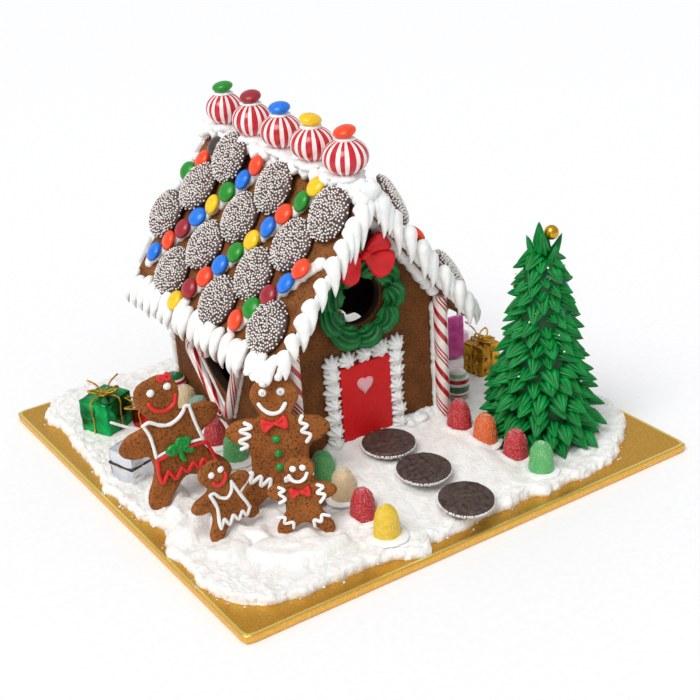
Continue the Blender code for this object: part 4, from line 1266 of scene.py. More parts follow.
def bead_spots(chance, radius):
    """Places strewn over a disc, none nearer to another than BEAD_GAP."""
    cells = {}
    spots = []
    for _ in range(2600):
        share = math.sqrt(chance.random())
        angle = chance.uniform(0, 2 * math.pi)
        spot = (radius * share * math.cos(angle), radius * share * math.sin(angle))
        column, row = (math.floor(value / BEAD_GAP) for value in spot)
        near = [cells.get((column + i, row + j)) for i in (-1, 0, 1) for j in (-1, 0, 1)]
        if not any(other and math.dist(other, spot) < BEAD_GAP for other in near):
            cells[column, row] = spot
            spots.append(spot)
    return spots


def disc_height(share):
    """The crown of a chocolate drop, from 1 at its middle to 0 at its rim."""
    return math.sqrt(max(0.0, 1 - share ** 3.2))


def crown_lift(share):
    return RIM_SHARE + (1 - RIM_SHARE) * disc_height(share)


def disc_body(form, matrix, radius, thickness, flip):
    """The chocolate itself; where it lies crown down, its flat side is scuffed."""
    profile = [(share, 0.0) for share in DISC_FLAT] if flip else []
    profile += [(0.97, 0.0), (1.0, 0.10), (1.0, RIM_SHARE)]
    profile += [(share, crown_lift(share)) for share in DISC_CROWN]
    rings = []
    for share, lift in profile:
        around = []
        for t in turns(40):
            reach = radius * share * (1 + 0.02 * noise.noise(Vector((math.cos(t), math.sin(t), 7)) * 2))
            x, y = reach * math.cos(t), reach * math.sin(t)
            height = thickness * ((1 - lift) if flip else lift)
            if flip and lift == 0.0:
                spot = Vector((x, y, matrix.translation.y * 9))
                height += 0.0009 * noise.noise(spot * 190) + 0.0010 * abs(noise.noise(spot * 360))
                height -= 0.0006 * (share > 0.9)
            around.append(matrix @ Vector((x, y, height)))
        rings.append(around)
    form.loft(rings, 0)


def chocolate_disc(form, matrix, radius, thickness, flip, chance):
    """A chocolate drop beaded on its crown; flip lays it crown down."""
    disc_body(form, matrix, radius, thickness, flip)
    spots = bead_spots(chance, radius * 1.005)
    if flip:
        around = 66
        for row, share in ((0, 0.995), (1, 0.93)):
            for k in range(around):
                t = 2 * math.pi * (k + row / 2 + chance.uniform(-0.25, 0.25)) / around
                spots.append((radius * share * math.cos(t), radius * share * math.sin(t)))
    for x, y in spots:
        rho = min(1.0, math.hypot(x, y) / radius)
        size = chance.uniform(0.00066, 0.00084)
        spin = chance.uniform(0, 1)
        if flip and rho < 0.86:
            continue
        slope = 3.52 * rho ** 2.2 * thickness / radius ** 2 / max(0.15, disc_height(rho))
        normal = Vector((x * slope, y * slope, 1)).normalized()
        height = thickness * crown_lift(rho)
        if flip:
            normal.z = -normal.z
            height = thickness - height
        bead(form, matrix @ Vector((x, y, height)), matrix.to_3x3() @ normal, size, spin, 1)


def add_disc_rows():
    """Rows of discs that lap down each slope. Those at the right slope's front stand up on icing."""
    chance = random.Random(17)
    for side, word in SIDES:
        face = off_slope(side)
        down_way = down_slope(side)
        axes = Matrix((down_way, face.cross(down_way), face)).transposed().to_4x4()
        for row, (start, offset, count, rest) in enumerate(DISC_ROWS, 1):
            form = Form("chocolate", "sugar_bead", "icing")
            for i in range(count):
                down = start + i * DISC_STEP
                place = roof_place(side, down, offset + RUN_BACK * down, rest + 0.0006)
                tip = math.radians(2.2) * math.sin(2.4 * i + offset * 40)
                if i == 0 and down < 0.03:
                    place += face * 0.0022
                    tip += math.radians(7)
                matrix = Matrix.Translation(place) @ axes @ Matrix.Rotation(tip, 4, "Y")
                if side == 1 and place.y < ROOF_FRONT_Y + 0.026:
                    raised = Matrix.Translation(face * 0.0080 + down_way * 0.0090)
                    matrix = raised @ matrix @ Matrix.Rotation(math.radians(28), 4, "X")
                    form.blob(matrix @ Vector((0, 0.003, -0.0030)), down_way * 0.0100, AHEAD * 0.0105,
                              face * 0.0062, 2, wobble=0.3)
                chocolate_disc(form, matrix, DISC_RADIUS, DISC_THICKNESS, False, chance)
            form.piece(f"beaded_discs_{word}_{row}", [f"nonpareils_{word}_{row}"])


def add_stones():
    chance = random.Random(19)
    for index, (place, tilt) in enumerate(STONES, 1):
        form = Form("chocolate_base", "sugar_bead")
        foot = Vector((*place, snow_top(*place) + 0.0012))
        matrix = Matrix.Translation(foot) @ Matrix.Rotation(math.radians(tilt), 4, "X")
        chocolate_disc(form, matrix, STONE_RADIUS, STONE_THICKNESS, True, chance)
        form.piece(f"path_disc_{index}", [f"stepping_disc_{index}"])


# --- front of the house -----------------------------------------------------------------------

def flat_curve(spots, steps):
    """A closed smooth outline through places in plan."""
    return [spot.to_2d() for spot in smooth_path([Vector((*spot, 0)) for spot in spots], steps, cyclic=True)]


def heart_outline(size):
    points = []
    for t in turns(48):
        x = 16 * math.sin(t) ** 3
        y = 15 * math.cos(t) - 4.4 * math.cos(2 * t) - 1.8 * math.cos(3 * t) - 0.6 * math.cos(4 * t)
        points.append(Vector((x, y)) * size / 32)
    return points


def rounded_rectangle(half_x, half_z, corner):
    outline = []
    for quarter, (sx, sz) in enumerate(((1, 1), (-1, 1), (-1, -1), (1, -1))):
        for k in range(5):
            t = math.pi / 2 * (quarter + k / 4)
            outline.append(Vector((sx * (half_x - corner) + corner * math.cos(t),
                                   sz * (half_z - corner) + corner * math.sin(t))))
    return outline


def add_door():
    """A slab of fondant with a heart of two layers of pink icing."""
    middle = (DOOR_LOW + DOOR_HIGH) / 2
    half = (DOOR_HIGH - DOOR_LOW) / 2
    tilt = Matrix.Rotation(math.radians(-6), 2)
    form = Form("red_fondant", "pink_icing")

    def on_door(x, z, lift):
        return Vector((middle.x + x, DOOR_HIGH.y - lift, middle.z + z))

    def on_heart(x, z, lift):
        turned = tilt @ Vector((x, z))
        return Vector((-0.0127 + turned.x, DOOR_LOW.y + 0.0001 - lift, 0.0704 + turned.y))

    pillow(form, rounded_rectangle(half.x, half.z, 0.0012), on_door, 2 * half.y, 0,
           ((1.0, 0.0), (1.0, 0.75), (0.985, 1.0), (0.6, 1.0), (0.2, 1.0)))
    pillow(form, heart_outline(0.0126), on_heart, 0.0012, 1,
           ((1.0, 0.0), (1.03, 0.5), (0.97, 0.9), (0.86, 0.95)))
    pillow(form, heart_outline(0.0108), on_heart, 0.0022, 1,
           ((0.9, 0.3), (1.0, 0.75), (0.93, 0.93), (0.7, 1.0), (0.3, 1.0)))
    form.piece("door_and_heart", ["door"], sharp=50)


# A star's section from its foot: share of the radius, share of the height, depth of the ridges
STAR_PROFILE = ((0.90, 0.0, 0.42), (1.0, 0.14, 0.46), (0.94, 0.34, 0.42), (0.74, 0.58, 0.36),
                (0.48, 0.80, 0.30), (0.24, 0.96, 0.20), (0.07, 1.12, 0.0))
STAR_HEIGHT = 0.0062


def star(form, centre, out, along, radius, chance):
    """A star of icing pressed straight out of a star tip, drawn up to a small peak."""
    across = along.cross(out).normalized()
    turn = chance.uniform(0, math.pi)
    lean = along * chance.uniform(-0.0006, 0.0006) + across * chance.uniform(-0.0006, 0.0006)
    rings = []
    for share, lift, depth in STAR_PROFILE:
        middle = centre + out * STAR_HEIGHT * lift + lean * lift * 2
        rings.append(ring(middle, across * radius * share, along * radius * share, 48,
                          turn + 0.35 * lift, ridged(8, depth)))
    form.loft(rings)


def add_door_border():
    """Stars up one side of the door, over it and down the other side."""
    chance = random.Random(29)
    form = Form("icing")
    middle = (DOOR_HIGH + DOOR_LOW) / 2
    half = DOOR_HIGH.x - middle.x + BORDER_WIDTH / 2
    foot = DOOR_LOW.z + 0.0010
    top = DOOR_HIGH.z + BORDER_WIDTH / 2
    corners = ((-half, foot), (-half, top), (half, top), (half, foot))
    spots = []
    for (x0, z0), (x1, z1), count in zip(corners, corners[1:], (6, 4, 6)):
        spots += [(x0 + (x1 - x0) * i / count, z0 + (z1 - z0) * i / count) for i in range(count)]
    for x, z in (*spots, corners[-1]):
        size = STAR_RADIUS * chance.uniform(0.96, 1.10)
        place = Vector((middle.x + x + chance.uniform(-0.0005, 0.0005), FRONT_Y - GAP,
                        z + chance.uniform(-0.0006, 0.0006)))
        star(form, place, AHEAD, UP, size, chance)
    form.piece("door_stars", ["door_border"])


def add_wreath():
    """Shells of green icing laid round the window, each one's head over the last one's tail."""
    chance = random.Random(31)
    form = Form("wreath", "wreath_groove_shade")
    shells = 9
    spacing = 2 * math.pi / shells
    for i in range(shells):
        path = []
        for share in (0.0, 0.2, 0.4, 0.6, 0.8, 1.0):
            t = spacing * (i + 0.15 - 1.60 * share) - 0.5
            reach = 0.0206 + 0.0050 * math.sin(math.pi * share * 1.1)
            lift = 0.0052 + 0.0016 * math.sin(math.pi * min(1.0, share * 1.5)) - 0.0030 * share
            path.append(WREATH + Vector((math.cos(t), 0, math.sin(t))) * reach + AHEAD * lift)
        # Two strips in every six, round each valley, take the darker green as painted shade
        teardrop(form, path, 0.0098 * chance.uniform(0.94, 1.06), up=AHEAD, flat=0.72, steps=6, sides=54,
                 point=0.14, shape=ridged(9, 0.55), strips=(0, 0, 1, 1, 0, 0), wobble=0.02)
    form.piece("wreath_shells", ["wreath"])


# Each lobe of the bow: outline in millimetres from the knot, height of its crown, tip's way forward
BOW_LOBES = (
    (((0.5, 1.2), (3.5, 5.6), (8.2, 9.8), (12.5, 12.2), (16.4, 9.4), (20.6, 2.6), (20.0, -0.6),
      (12.0, -0.6), (4.0, -0.9)), 4.2, 0.0),
    (((0.8, -1.6), (7.0, -1.4), (14.0, -0.8), (21.6, -2.6), (23.0, -7.5), (21.0, -13.0), (15.6, -18.0),
      (8.6, -17.6), (4.0, -11.0)), 4.6, 0.8),
    (((-1.0, -1.4), (-6.0, -0.4), (-12.0, -0.2), (-17.6, -3.0), (-18.8, -9.0), (-17.0, -15.0),
      (-12.0, -18.2), (-6.0, -16.4), (-3.4, -9.0)), 4.4, 0.6),
    (((-1.0, 1.0), (-3.8, 4.6), (-10.8, 8.8), (-10.4, 4.0), (-9.6, -0.4), (-4.0, -0.8)), 3.2, 0.2),
)
BOW_CROWN = ((1.0, 0.0), (1.015, 0.35), (1.0, 0.62), (0.94, 0.84), (0.82, 0.95), (0.6, 0.92),
             (0.35, 0.88), (0.12, 0.86))


def add_bow():
    """A fondant bow: four folded lobes gathered by a knot."""
    form = Form("bow_fondant", "wreath")
    for outline, crown, forward in BOW_LOBES:
        dense = flat_curve([(x * MM, z * MM) for x, z in outline], 5)
        reach = max(spot.length for spot in dense)

        def on_bow(x, z, lift):
            far = math.hypot(x, z) / reach
            fold = 0.0016 * math.cos(5.0 * math.atan2(z, x) + 6 * far) * (1 - far) * (lift > 0.0001)
            return BOW_KNOT + Vector((x, 0.0022 - lift * (0.45 + 0.6 * far) - forward * MM * far - fold, z))

        pillow(form, dense, on_bow, crown * MM, 0, BOW_CROWN)
    form.blob(BOW_KNOT + AHEAD * 0.0012, Vector((0.0034, 0, 0.0005)), Vector((0, 0.0030, 0)),
              UP * 0.0032, 0, wobble=0.15)
    leaf = [BOW_KNOT + Vector(spot) * MM
            for spot in ((-1.0, 3.0, 3.0), (-3.2, 0.8, 6.5), (-6.6, 0.6, 10.8), (-10.4, 2.0, 14.0))]
    teardrop(form, leaf, 0.0044, 1, flat=0.6, steps=5, sides=30, shape=ridged(5, 0.3))
    form.piece("fondant_bow", ["bow"])


# --- sticks and canes -------------------------------------------------------------------------

# Looks round a stick: two broad red stripes and three fine ones on white, in doubled strips
STICK_STRIPES = [ink for ink in (1, 1, 1, 0, 0, 0, 0, 1, 1, 1, 0, 0, 0, 0, 1, 0, 1, 0, 1, 0, 0, 0, 0, 0)
                 for _ in range(2)]
STICK_PITCH = 0.042
CANE_RADIUS = 0.0039
CANE_PITCH = 0.110
CANE_LEG = 15


def add_sticks():
    for word in ("left", "right"):
        low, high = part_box(f"corner_stick_{word}")
        radius = (high.x - low.x) / 2
        middle = (low + high) / 2
        steps = 60
        length = high.z + 0.0055 - low.z
        form = Form("stick_white", "stick_red")
        path = [Vector((middle.x, middle.y, low.z + length * i / steps)) for i in range(steps + 1)]
        radii = [radius * 0.93, *[radius] * (steps - 1), radius * 0.93]
        tube(form, path, radii, 48, up=AHEAD, twist=-2 * math.pi / STICK_PITCH, strips=STICK_STRIPES)
        form.piece(f"striped_stick_{word}", [f"corner_stick_{word}"], sharp=60)


def cane_path(hand):
    """A candy cane's centre line beside the heart's axis: a leg, then a hook back to the axis."""
    lean = hand * math.radians(35)
    hook = 0.0122
    foot = Vector((hand * 0.0044, 0.00145))
    top = Vector((hand * 0.0044 + 0.056 * math.sin(lean), 0.056 * math.cos(lean)))
    points = [foot.lerp(top, i / (CANE_LEG - 1)) for i in range(CANE_LEG)]
    centre = top - Vector((hand * hook, 0))
    for i in range(1, 13):
        t = math.pi * i / 12
        points.append(centre + Vector((hand * math.cos(t), math.sin(t))) * hook)
    return [*points, centre - Vector((hand * hook, 0.002))]


def add_canes():
    glue = Form("icing")
    for side, word in SIDES:
        out = Vector((side, 0, 0))
        wall_x = HOUSE_X + side * HALF_HOUSE
        for hand, place in ((-1, "front"), (1, "back")):
            form = Form("stick_white", "stick_red")
            path = [Vector((wall_x + side * (GAP + CANE_RADIUS), *tilted(*spot))) for spot in cane_path(hand)]
            dense = smooth_path(path, 2)
            radii = [CANE_RADIUS] * len(dense)
            radii[0] = radii[-1] = CANE_RADIUS * 0.7
            tube(form, dense, radii, 48, up=out, twist=hand * 2 * math.pi / CANE_PITCH,
                 strips=STICK_STRIPES)
            name = f"cane_{word}_{place}"
            form.piece(f"striped_{name}", [name])
            for shift in (-0.0032, 0.0032):
                line = [Vector((wall_x + side * 0.0006, spot.y + shift, spot.z)) for spot in path[:CANE_LEG]]
                piped(glue, line, 0.0015, up=out, wobble=0.5)
    glue.piece("cane_icing")


# --- gingerbread people -----------------------------------------------------------------------

# Icing on the figures: colour, radius in millimetres and points in thousandths of the height
WHITE, RED, GREEN, GREY = range(4)
PEOPLE_INKS = ("icing", "red_icing", "green_button", "sugar_pearl")
PEOPLE_LINES = {
    "mother": (
        (RED, 1.3, ((-82, 841), (-65, 787), (-18, 748), (41, 740), (96, 764), (124, 817))),
        (WHITE, 1.3, ((-179, 704), (-128, 709), (-65, 656), (2, 626), (76, 637), (135, 673),
                      (160, 704), (192, 690))),
        (WHITE, 1.2, ((191, 676), (192, 539), (203, 399))),
        (WHITE, 1.2, ((-179, 704), (-160, 616), (-162, 524), (-172, 432))),
        (WHITE, 1.0, ((-172, 430), (-87, 436), (10, 430), (100, 421), (208, 398))),
        (RED, 1.3, ((-178, 400), (-77, 408), (10, 402), (95, 388), (216, 364))),
        (RED, 1.4, ((-175, 392), (-196, 307), (-198, 222), (-160, 250), (-125, 282), (-108, 240),
                    (-88, 206), (-50, 236), (-21, 262), (7, 216), (45, 240), (73, 256), (98, 202),
                    (125, 226), (155, 246), (190, 190), (242, 196))),
        (RED, 1.2, ((218, 356), (235, 262), (242, 196))),
        (RED, 1.3, ((48, 1000), (60, 960), (88, 985), (62, 1005), (90, 975))),
        (RED, 1.3, ((88, 980), (116, 1000), (132, 965), (108, 955), (90, 982))),
        (GREEN, 1.8, ((18, 419), (-30, 452), (-80, 430), (-40, 398), (18, 417))),
        (GREEN, 1.8, ((18, 419), (50, 470), (96, 452), (70, 412), (18, 417))),
        (GREEN, 1.8, ((18, 415), (10, 365), (16, 318))),
        (GREEN, 1.8, ((18, 415), (60, 375), (98, 362))),
        (GREEN, 1.8, ((0, 440), (30, 485), (60, 462))),
    ),
    "father": (
        (WHITE, 1.4, ((-90, 890), (-64, 850), (-21, 817), (25, 809), (73, 828), (109, 880))),
        (WHITE, 1.3, ((-212, 749), (-165, 712), (-253, 687), (-179, 644), (-262, 605), (-207, 567),
                      (-256, 542))),
        (WHITE, 1.3, ((227, 773), (211, 725), (263, 697), (216, 651), (280, 621), (248, 566))),
        (WHITE, 1.3, ((-264, 305), (-193, 346), (-212, 262), (-130, 310), (-135, 234), (-60, 285),
                      (-73, 207))),
        (WHITE, 1.3, ((264, 305), (193, 346), (212, 262), (130, 310), (135, 234), (60, 285), (73, 207))),
    ),
    "girl": (
        (RED, 1.2, ((-50, 778), (-15, 716), (62, 708), (118, 762), (126, 800))),
        (WHITE, 1.1, ((-146, 665), (-93, 655), (-48, 560), (29, 500), (109, 548), (150, 650))),
        (WHITE, 1.2, ((-146, 660), (-132, 466), (-177, 296), (-192, 196))),
        (WHITE, 1.2, ((150, 650), (189, 418), (216, 288), (228, 196))),
        (WHITE, 1.1, ((-192, 196), (-150, 238), (-112, 276), (-83, 172), (-35, 210), (8, 243),
                      (43, 151), (90, 185), (129, 211), (153, 127), (228, 196))),
    ),
    "boy": (
        (WHITE, 1.2, ((-118, 800), (-79, 735), (-12, 718), (52, 755), (86, 820))),
        (WHITE, 1.1, ((-250, 655), (-190, 619), (-253, 576), (-190, 506), (-260, 457))),
        (WHITE, 1.1, ((190, 668), (250, 636), (180, 567), (262, 536), (205, 445))),
        (WHITE, 1.1, ((-305, 265), (-224, 262), (-232, 186), (-136, 195), (-136, 125))),
        (WHITE, 1.1, ((110, 130), (112, 215), (186, 190), (206, 275), (285, 262))),
    ),
}
# Dots: colour, radius in millimetres, height as a share of the radius, and places
PEOPLE_DOTS = {
    "mother": ((WHITE, 2.7, 0.62, ((-41, 911), (90, 906))), (GREEN, 3.0, 0.9, ((-32, 428),)),
               (GREEN, 2.8, 0.9, ((62, 445),)), (GREEN, 3.4, 0.9, ((18, 420),))),
    "father": ((WHITE, 2.7, 0.62, ((-54, 978), (82, 978))),
               (GREEN, 2.7, 0.75, ((16, 600), (21, 484), (22, 371)))),
    "girl": ((WHITE, 2.2, 0.62, ((-30, 875), (100, 868))),),
    "boy": ((WHITE, 2.2, 0.62, ((-68, 880), (42, 890))),),
}
# Bow ties: middle, half its width and tilt in radians
BOW_TIES = {"father": ((14, 728), 100, 0.12), "boy": ((-10, 592), 115, 0.10)}
BOW_TIE = ((0.04, 0.10), (0.40, 0.32), (0.80, 0.56), (1.0, 0.42), (1.04, 0.0), (0.96, -0.44),
           (0.74, -0.56), (0.40, -0.30), (0.04, -0.10))
BOW_TIE_CROWN = ((1.0, 0.0), (1.03, 0.4), (0.94, 0.85), (0.75, 1.0), (0.45, 0.80), (0.15, 0.62))
PEARL_EYED = ("father",)
# How much taller and broader than the others the father's upper body is
LIFTS = {"father": 0.085}
# Half a figure, from the crown of the head to between the legs, in thousandths of its height
HALF_PERSON = ((118, 974), (172, 855), (115, 690), (210, 668), (325, 650), (405, 570), (335, 485),
               (215, 445), (205, 350), (225, 285), (325, 130), (330, 35), (235, 5), (130, 95))


class Person:
    """A gingerbread figure's own frame: x and y as shares of its height, and its front face."""

    def __init__(self, word):
        self.height, foot, turn, lean, roll = PEOPLE[word]
        self.thickness = 0.0070 if self.height > GROWN_UP else 0.0058
        rise = 0.24 * self.height * math.sin(math.radians(abs(roll)))
        matrix = Matrix.Translation((*foot, PEOPLE_FOOT_Z + rise))
        matrix @= Matrix.Rotation(math.radians(turn), 4, "Z")
        matrix @= Matrix.Rotation(math.radians(90 - lean), 4, "X")
        self.matrix = matrix @ Matrix.Rotation(math.radians(roll), 4, "Z")
        self.across, self.over, self.normal = (column.normalized() for column in self.matrix.to_3x3().col)

    def spot(self, x, y, above=0.0):
        return self.matrix @ Vector((x * self.height, y * self.height, self.thickness / 2 + above))

    def line(self, form, points, radius, ink):
        """A piped line, partly sunk in the face."""
        path = [self.spot(x, y, radius * 0.55) for x, y in points]
        piped(form, path, radius, ink, sides=12, up=self.normal, flat=0.85, wobble=0.16)

    def dot(self, form, x, y, radius, ink, lift):
        form.blob(self.spot(x, y), self.across * radius, self.over * radius, self.normal * radius * lift,
                  ink, sides=20, wobble=0.08)

    def pearl(self, form, x, y, radius, lift):
        """A small grey pupil on a dot."""
        form.blob(self.spot(x, y, radius * lift * 0.86), self.across * radius * 0.42,
                  self.over * radius * 0.42, self.normal * radius * 0.16, GREY, rings=5)

    def bow_tie(self, form, x, y, half, tilt):
        """Two flared loops and a knot."""
        c, s = math.cos(tilt), math.sin(tilt)

        def on_face(a, b, lift):
            return self.spot(x + a * c - b * s, y + a * s + b * c, lift)

        for hand in (-1, 1):
            outline = flat_curve([(hand * a * half, b * half) for a, b in BOW_TIE], 4)
            pillow(form, outline, on_face, 0.0030, RED, BOW_TIE_CROWN)
        self.dot(form, x, y, half * self.height * 0.20, RED, 1.5)


def gingerbread_outline(lift):
    """A gingerbread person's outline; lift stretches the upper body and shifts it to one side."""
    right = []
    for x, y in HALF_PERSON:
        x, y = x * MM, y * MM
        broad = 1.2 if y > 0.68 or 0.2 < y < 0.46 else 0
        rise = 1.15 * smooth_step(0.30, 0.50, y) - 0.15 * smooth_step(0.66, 0.80, y)
        right.append((x * (1 + lift * broad), y + lift * rise))
    left = [(-x, y) for x, y in reversed(right)]
    outline = [(0, 1.0 + lift), *right, (0, 0.175), *left]
    return [(x + 0.33 * lift * smooth_step(0.1, 0.3, y), y) for x, y in outline]


def cookie_mesh(person, lift):
    """A soft-edged baked slab in the figure's outline, gently uneven."""
    outline = flat_curve([(x * person.height, y * person.height) for x, y in gingerbread_outline(lift)], 6)
    voxel = 0.0011 if person.height > GROWN_UP else 0.0008
    mesh = mesh_of(slab_mesh([outline], person.thickness, 0.0016),
                   ("REMESH", {"mode": "VOXEL", "voxel_size": voxel}),
                   ("SMOOTH", {"factor": 0.5, "iterations": 7}))
    mesh.transform(person.matrix)
    with opened(mesh) as bm:
        for vert in bm.verts:
            swell = 0.00038 * noise.noise(vert.co * 150) + 0.00020 * noise.noise(vert.co * 420)
            vert.co += vert.normal * swell
    dress_in(mesh, "cookie")
    return mesh


def thousandths(points):
    return [(x * MM, y * MM) for x, y in points]


def add_people():
    """The four figures, each with its icing as a second piece."""
    for word in PEOPLE:
        person = Person(word)
        settle(f"gingerbread_{word}", cookie_mesh(person, LIFTS.get(word, 0.0)),
               [f"cookie_{word}"])
        form = Form(*PEOPLE_INKS)
        for ink, radius, lift, places in PEOPLE_DOTS[word]:
            for x, y in thousandths(places):
                person.dot(form, x, y, radius * MM, ink, lift)
                if word in PEARL_EYED and ink == WHITE:
                    person.pearl(form, x, y, radius * MM, lift)
        for ink, radius, points in PEOPLE_LINES[word]:
            person.line(form, thousandths(points), radius * MM, ink)
        if word in BOW_TIES:
            middle, half, tilt = BOW_TIES[word]
            person.bow_tie(form, *thousandths([middle])[0], half * MM, tilt)
        form.piece(f"{word}_icing")


# --- tree -------------------------------------------------------------------------------------

# How far the leaf tips reach at each share of the tree's height
TREE_OUTLINE = ((0.0, 0.0440), (0.10, 0.0430), (0.22, 0.0395), (0.40, 0.0325), (0.60, 0.0265),
                (0.75, 0.0225), (0.86, 0.0180), (0.93, 0.0130), (1.0, 0.0060))
TIERS = 16
SPRINKLES = 46
# Leaves at the tree's top: turn, reach and height of the tip
CROWN_LEAVES = ((0.6, 0.0100, 0.150), (1.7, 0.0120, 0.145), (2.8, 0.0110, 0.151), (3.5, 0.0040, 0.160),
                (4.0, 0.0140, 0.156), (4.9, 0.0120, 0.145), (5.9, 0.0140, 0.149))
LEAF, SHADED_CORE, GOLD, SUGAR, BLUE, GROOVE_SHADE = range(6)
TREE_INKS = ("green_icing", "green_core_shade", "gold_ball", "sugar_grain", "lentil_blue", "leaf_groove_shade")
# One strip in four, beside each valley, takes the darker green as painted shade
LEAF_STRIPS = (LEAF, LEAF, GROOVE_SHADE, LEAF)


def add_leaves(form, tier, chance):
    """One tier of ridged leaves, pulled out and down from the core."""
    share = 0.035 + 0.90 * tier / TIERS
    tier_reach = between(TREE_OUTLINE, share)
    count = max(5, round(2 * math.pi * tier_reach * 0.80 / 0.0112))
    bend = UP * 0.0014
    for i in range(count):
        out, along = compass(2 * math.pi * (i + 0.5 * (tier % 2) + chance.uniform(-0.16, 0.16)) / count)
        side = along * chance.uniform(-0.0055, 0.0055)
        tip_z = max(0.0005, TREE_HEIGHT * share + chance.uniform(-0.0030, 0.0030) - 0.0020)
        reach = tier_reach * chance.uniform(0.94, 1.09)
        length = 0.0190 * chance.uniform(0.88, 1.12)
        droop = chance.uniform(0.02, 0.48)
        root = TREE + out * max(0.001, reach - length * 0.84) + UP * (tip_z + length * droop)
        tip = TREE + out * reach + UP * tip_z + side
        bent = bend - out * 0.0004
        path = [root, root.lerp(tip, 0.35) + bent, root.lerp(tip, 0.7) + bent * 0.5, tip]
        teardrop(form, path, 0.0068 * chance.uniform(0.9, 1.10), LEAF, up=out * 0.6 + UP, flat=0.66,
                 steps=3, sides=28, point=0.012, shape=ridged(7, 0.50), strips=LEAF_STRIPS, wobble=0.04)


def add_tree():
    """Tiers of leaves round a core painted dark as the shade between them, a gold ball and sprinkles."""
    chance = random.Random(41)
    form = Form(*TREE_INKS)
    form.loft([level_ring(TREE + UP * TREE_HEIGHT * share, between(TREE_OUTLINE, share) * 0.66, 24)
               for share in (0.0, 0.03, 0.2, 0.5, 0.78, 0.88)], SHADED_CORE)
    for tier in range(TIERS):
        add_leaves(form, tier, chance)
    for turn, reach, height in CROWN_LEAVES:
        out = compass(turn)[0]
        path = [TREE + UP * (height - 0.021), TREE + out * reach * 0.62 + UP * (height - 0.012),
                TREE + out * reach + UP * height]
        teardrop(form, path, 0.0064, LEAF, up=out, flat=0.6, sides=24, point=0.012,
                 shape=ridged(6, 0.46), strips=LEAF_STRIPS)
    ball = TREE + Vector((0.0044, -0.0044, TREE_HEIGHT + 0.0012))
    form.lump(ball, (0.0050, 0.0050, 0.0050), GOLD, rings=13, sides=28)
    for _ in range(SPRINKLES):
        share = chance.uniform(0.05, 0.9)
        out = compass(chance.uniform(0, 2 * math.pi))[0]
        spot = TREE + out * between(TREE_OUTLINE, share) * 0.84 + UP * (share * TREE_HEIGHT + 0.004)
        size = chance.uniform(0.0005, 0.0009)
        form.lump(spot, (size, size, size), chance.choice((GOLD, SUGAR, SUGAR, BLUE)), rings=3, sides=8)
    form.piece("piped_tree", ["tree"])


# --- gifts and sweets -------------------------------------------------------------------------

# Boxes tied with gold cord: look, slot, spot in plan where no CAD node gives it, turn in degrees,
# shift to one side, size, wrinkle pattern, the bow's cord radius and its loops. Each loop or loose
# end (width 0) is given by its turn, reach, rise and width.
TIED_GIFTS = {
    "green": ("green_foil", "green_foil", None, 26, 0.0, (0.029, 0.026, 0.026), 2, 0.0009, (
        (2.6, 0.012, 0.0050, 0.0030), (3.8, 0.011, 0.0035, 0.0028), (0.2, 0.022, 0.0050, 0),
        (1.9, 0.012, 0.0100, 0), (5.2, 0.010, 0.0030, 0.0024))),
    "red": ("red_foil", "red_fondant", (-0.1085, 0.0830), 20, 0.0, (0.018, 0.018, 0.015), 3, 0.0009, (
        (2.0, 0.018, 0.0070, 0.0030), (2.7, 0.018, 0.0030, 0.0028), (0.4, 0.010, 0.0040, 0.0026))),
    "gold": ("gift_gold", "gift_gold_foil", None, 8, 0.002, (0.0205, 0.020, 0.026), 8, 0.0008, (
        (3.6, 0.012, 0.0110, 0.0030), (2.9, 0.014, 0.0190, 0), (0.4, 0.010, 0.0060, 0.0030),
        (4.6, 0.009, 0.0010, 0.0026), (5.4, 0.010, 0.0020, 0.0024))),
}
CORD_RADIUS = 0.0008
# Stars pressed into each side of the gold gift: place across and up
FOIL_STARS = ((-0.0055, 0.006), (0.0050, 0.0045), (0.0060, 0.0135), (-0.0045, 0.0150), (0.0045, 0.0215))


def gift_frame(spot, turn, shift=0.0):
    """The frame of a gift that stands on the snow at a spot or where a CAD node is."""
    if isinstance(spot, str):
        low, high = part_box(spot)
        spot = ((low + high) / 2).xy
    turned = Matrix.Translation((*spot, GIFT_FOOT_Z)) @ Matrix.Rotation(math.radians(turn), 4, "Z")
    return turned @ Matrix.Translation((shift, 0, 0))


def wrapped_box(form, matrix, size, salt, ink=0, puff=0.0007, crease=0.0009):
    """A box in creased foil: soft edges, slightly swollen faces and folded wrinkles."""
    bm = bmesh.new()
    bmesh.ops.create_cube(bm, size=2.0)
    bmesh.ops.subdivide_edges(bm, edges=bm.edges, cuts=15, use_grid_fill=True)
    half = Vector(size) / 2
    points = []
    for vert in bm.verts:
        x, y, z = vert.co
        swell = (1 - x * x) * (1 - y * y) + (1 - y * y) * (1 - z * z) + (1 - x * x) * (1 - z * z)
        soft = 1 - 0.030 * max(0.0, (x * x + y * y + z * z - 2.0))
        spot = Vector((x * half.x, y * half.y, z * half.z)) * soft
        normal = Vector((x ** 9, y ** 9, z ** 9)).normalized()
        fold = abs(noise.noise(spot * 115 + UP * salt)) + 0.5 * abs(noise.noise(spot * 260 + UP * salt))
        points.append(matrix @ (spot + normal * (puff * swell - crease * fold) + UP * half.z))
    bm.verts.index_update()
    form.add(points, [tuple(vert.index for vert in face.verts) for face in bm.faces], ink)
    bm.free()


def twisted(form, path, radius):
    """A gold cord of two twisted strands."""
    dense = smooth_path(path, 8)
    tube(form, dense, [radius] * len(dense), 12, 1, up=Vector((0.3, 0.2, 0.9)), twist=1500,
         shape=ridged(2, 0.30))


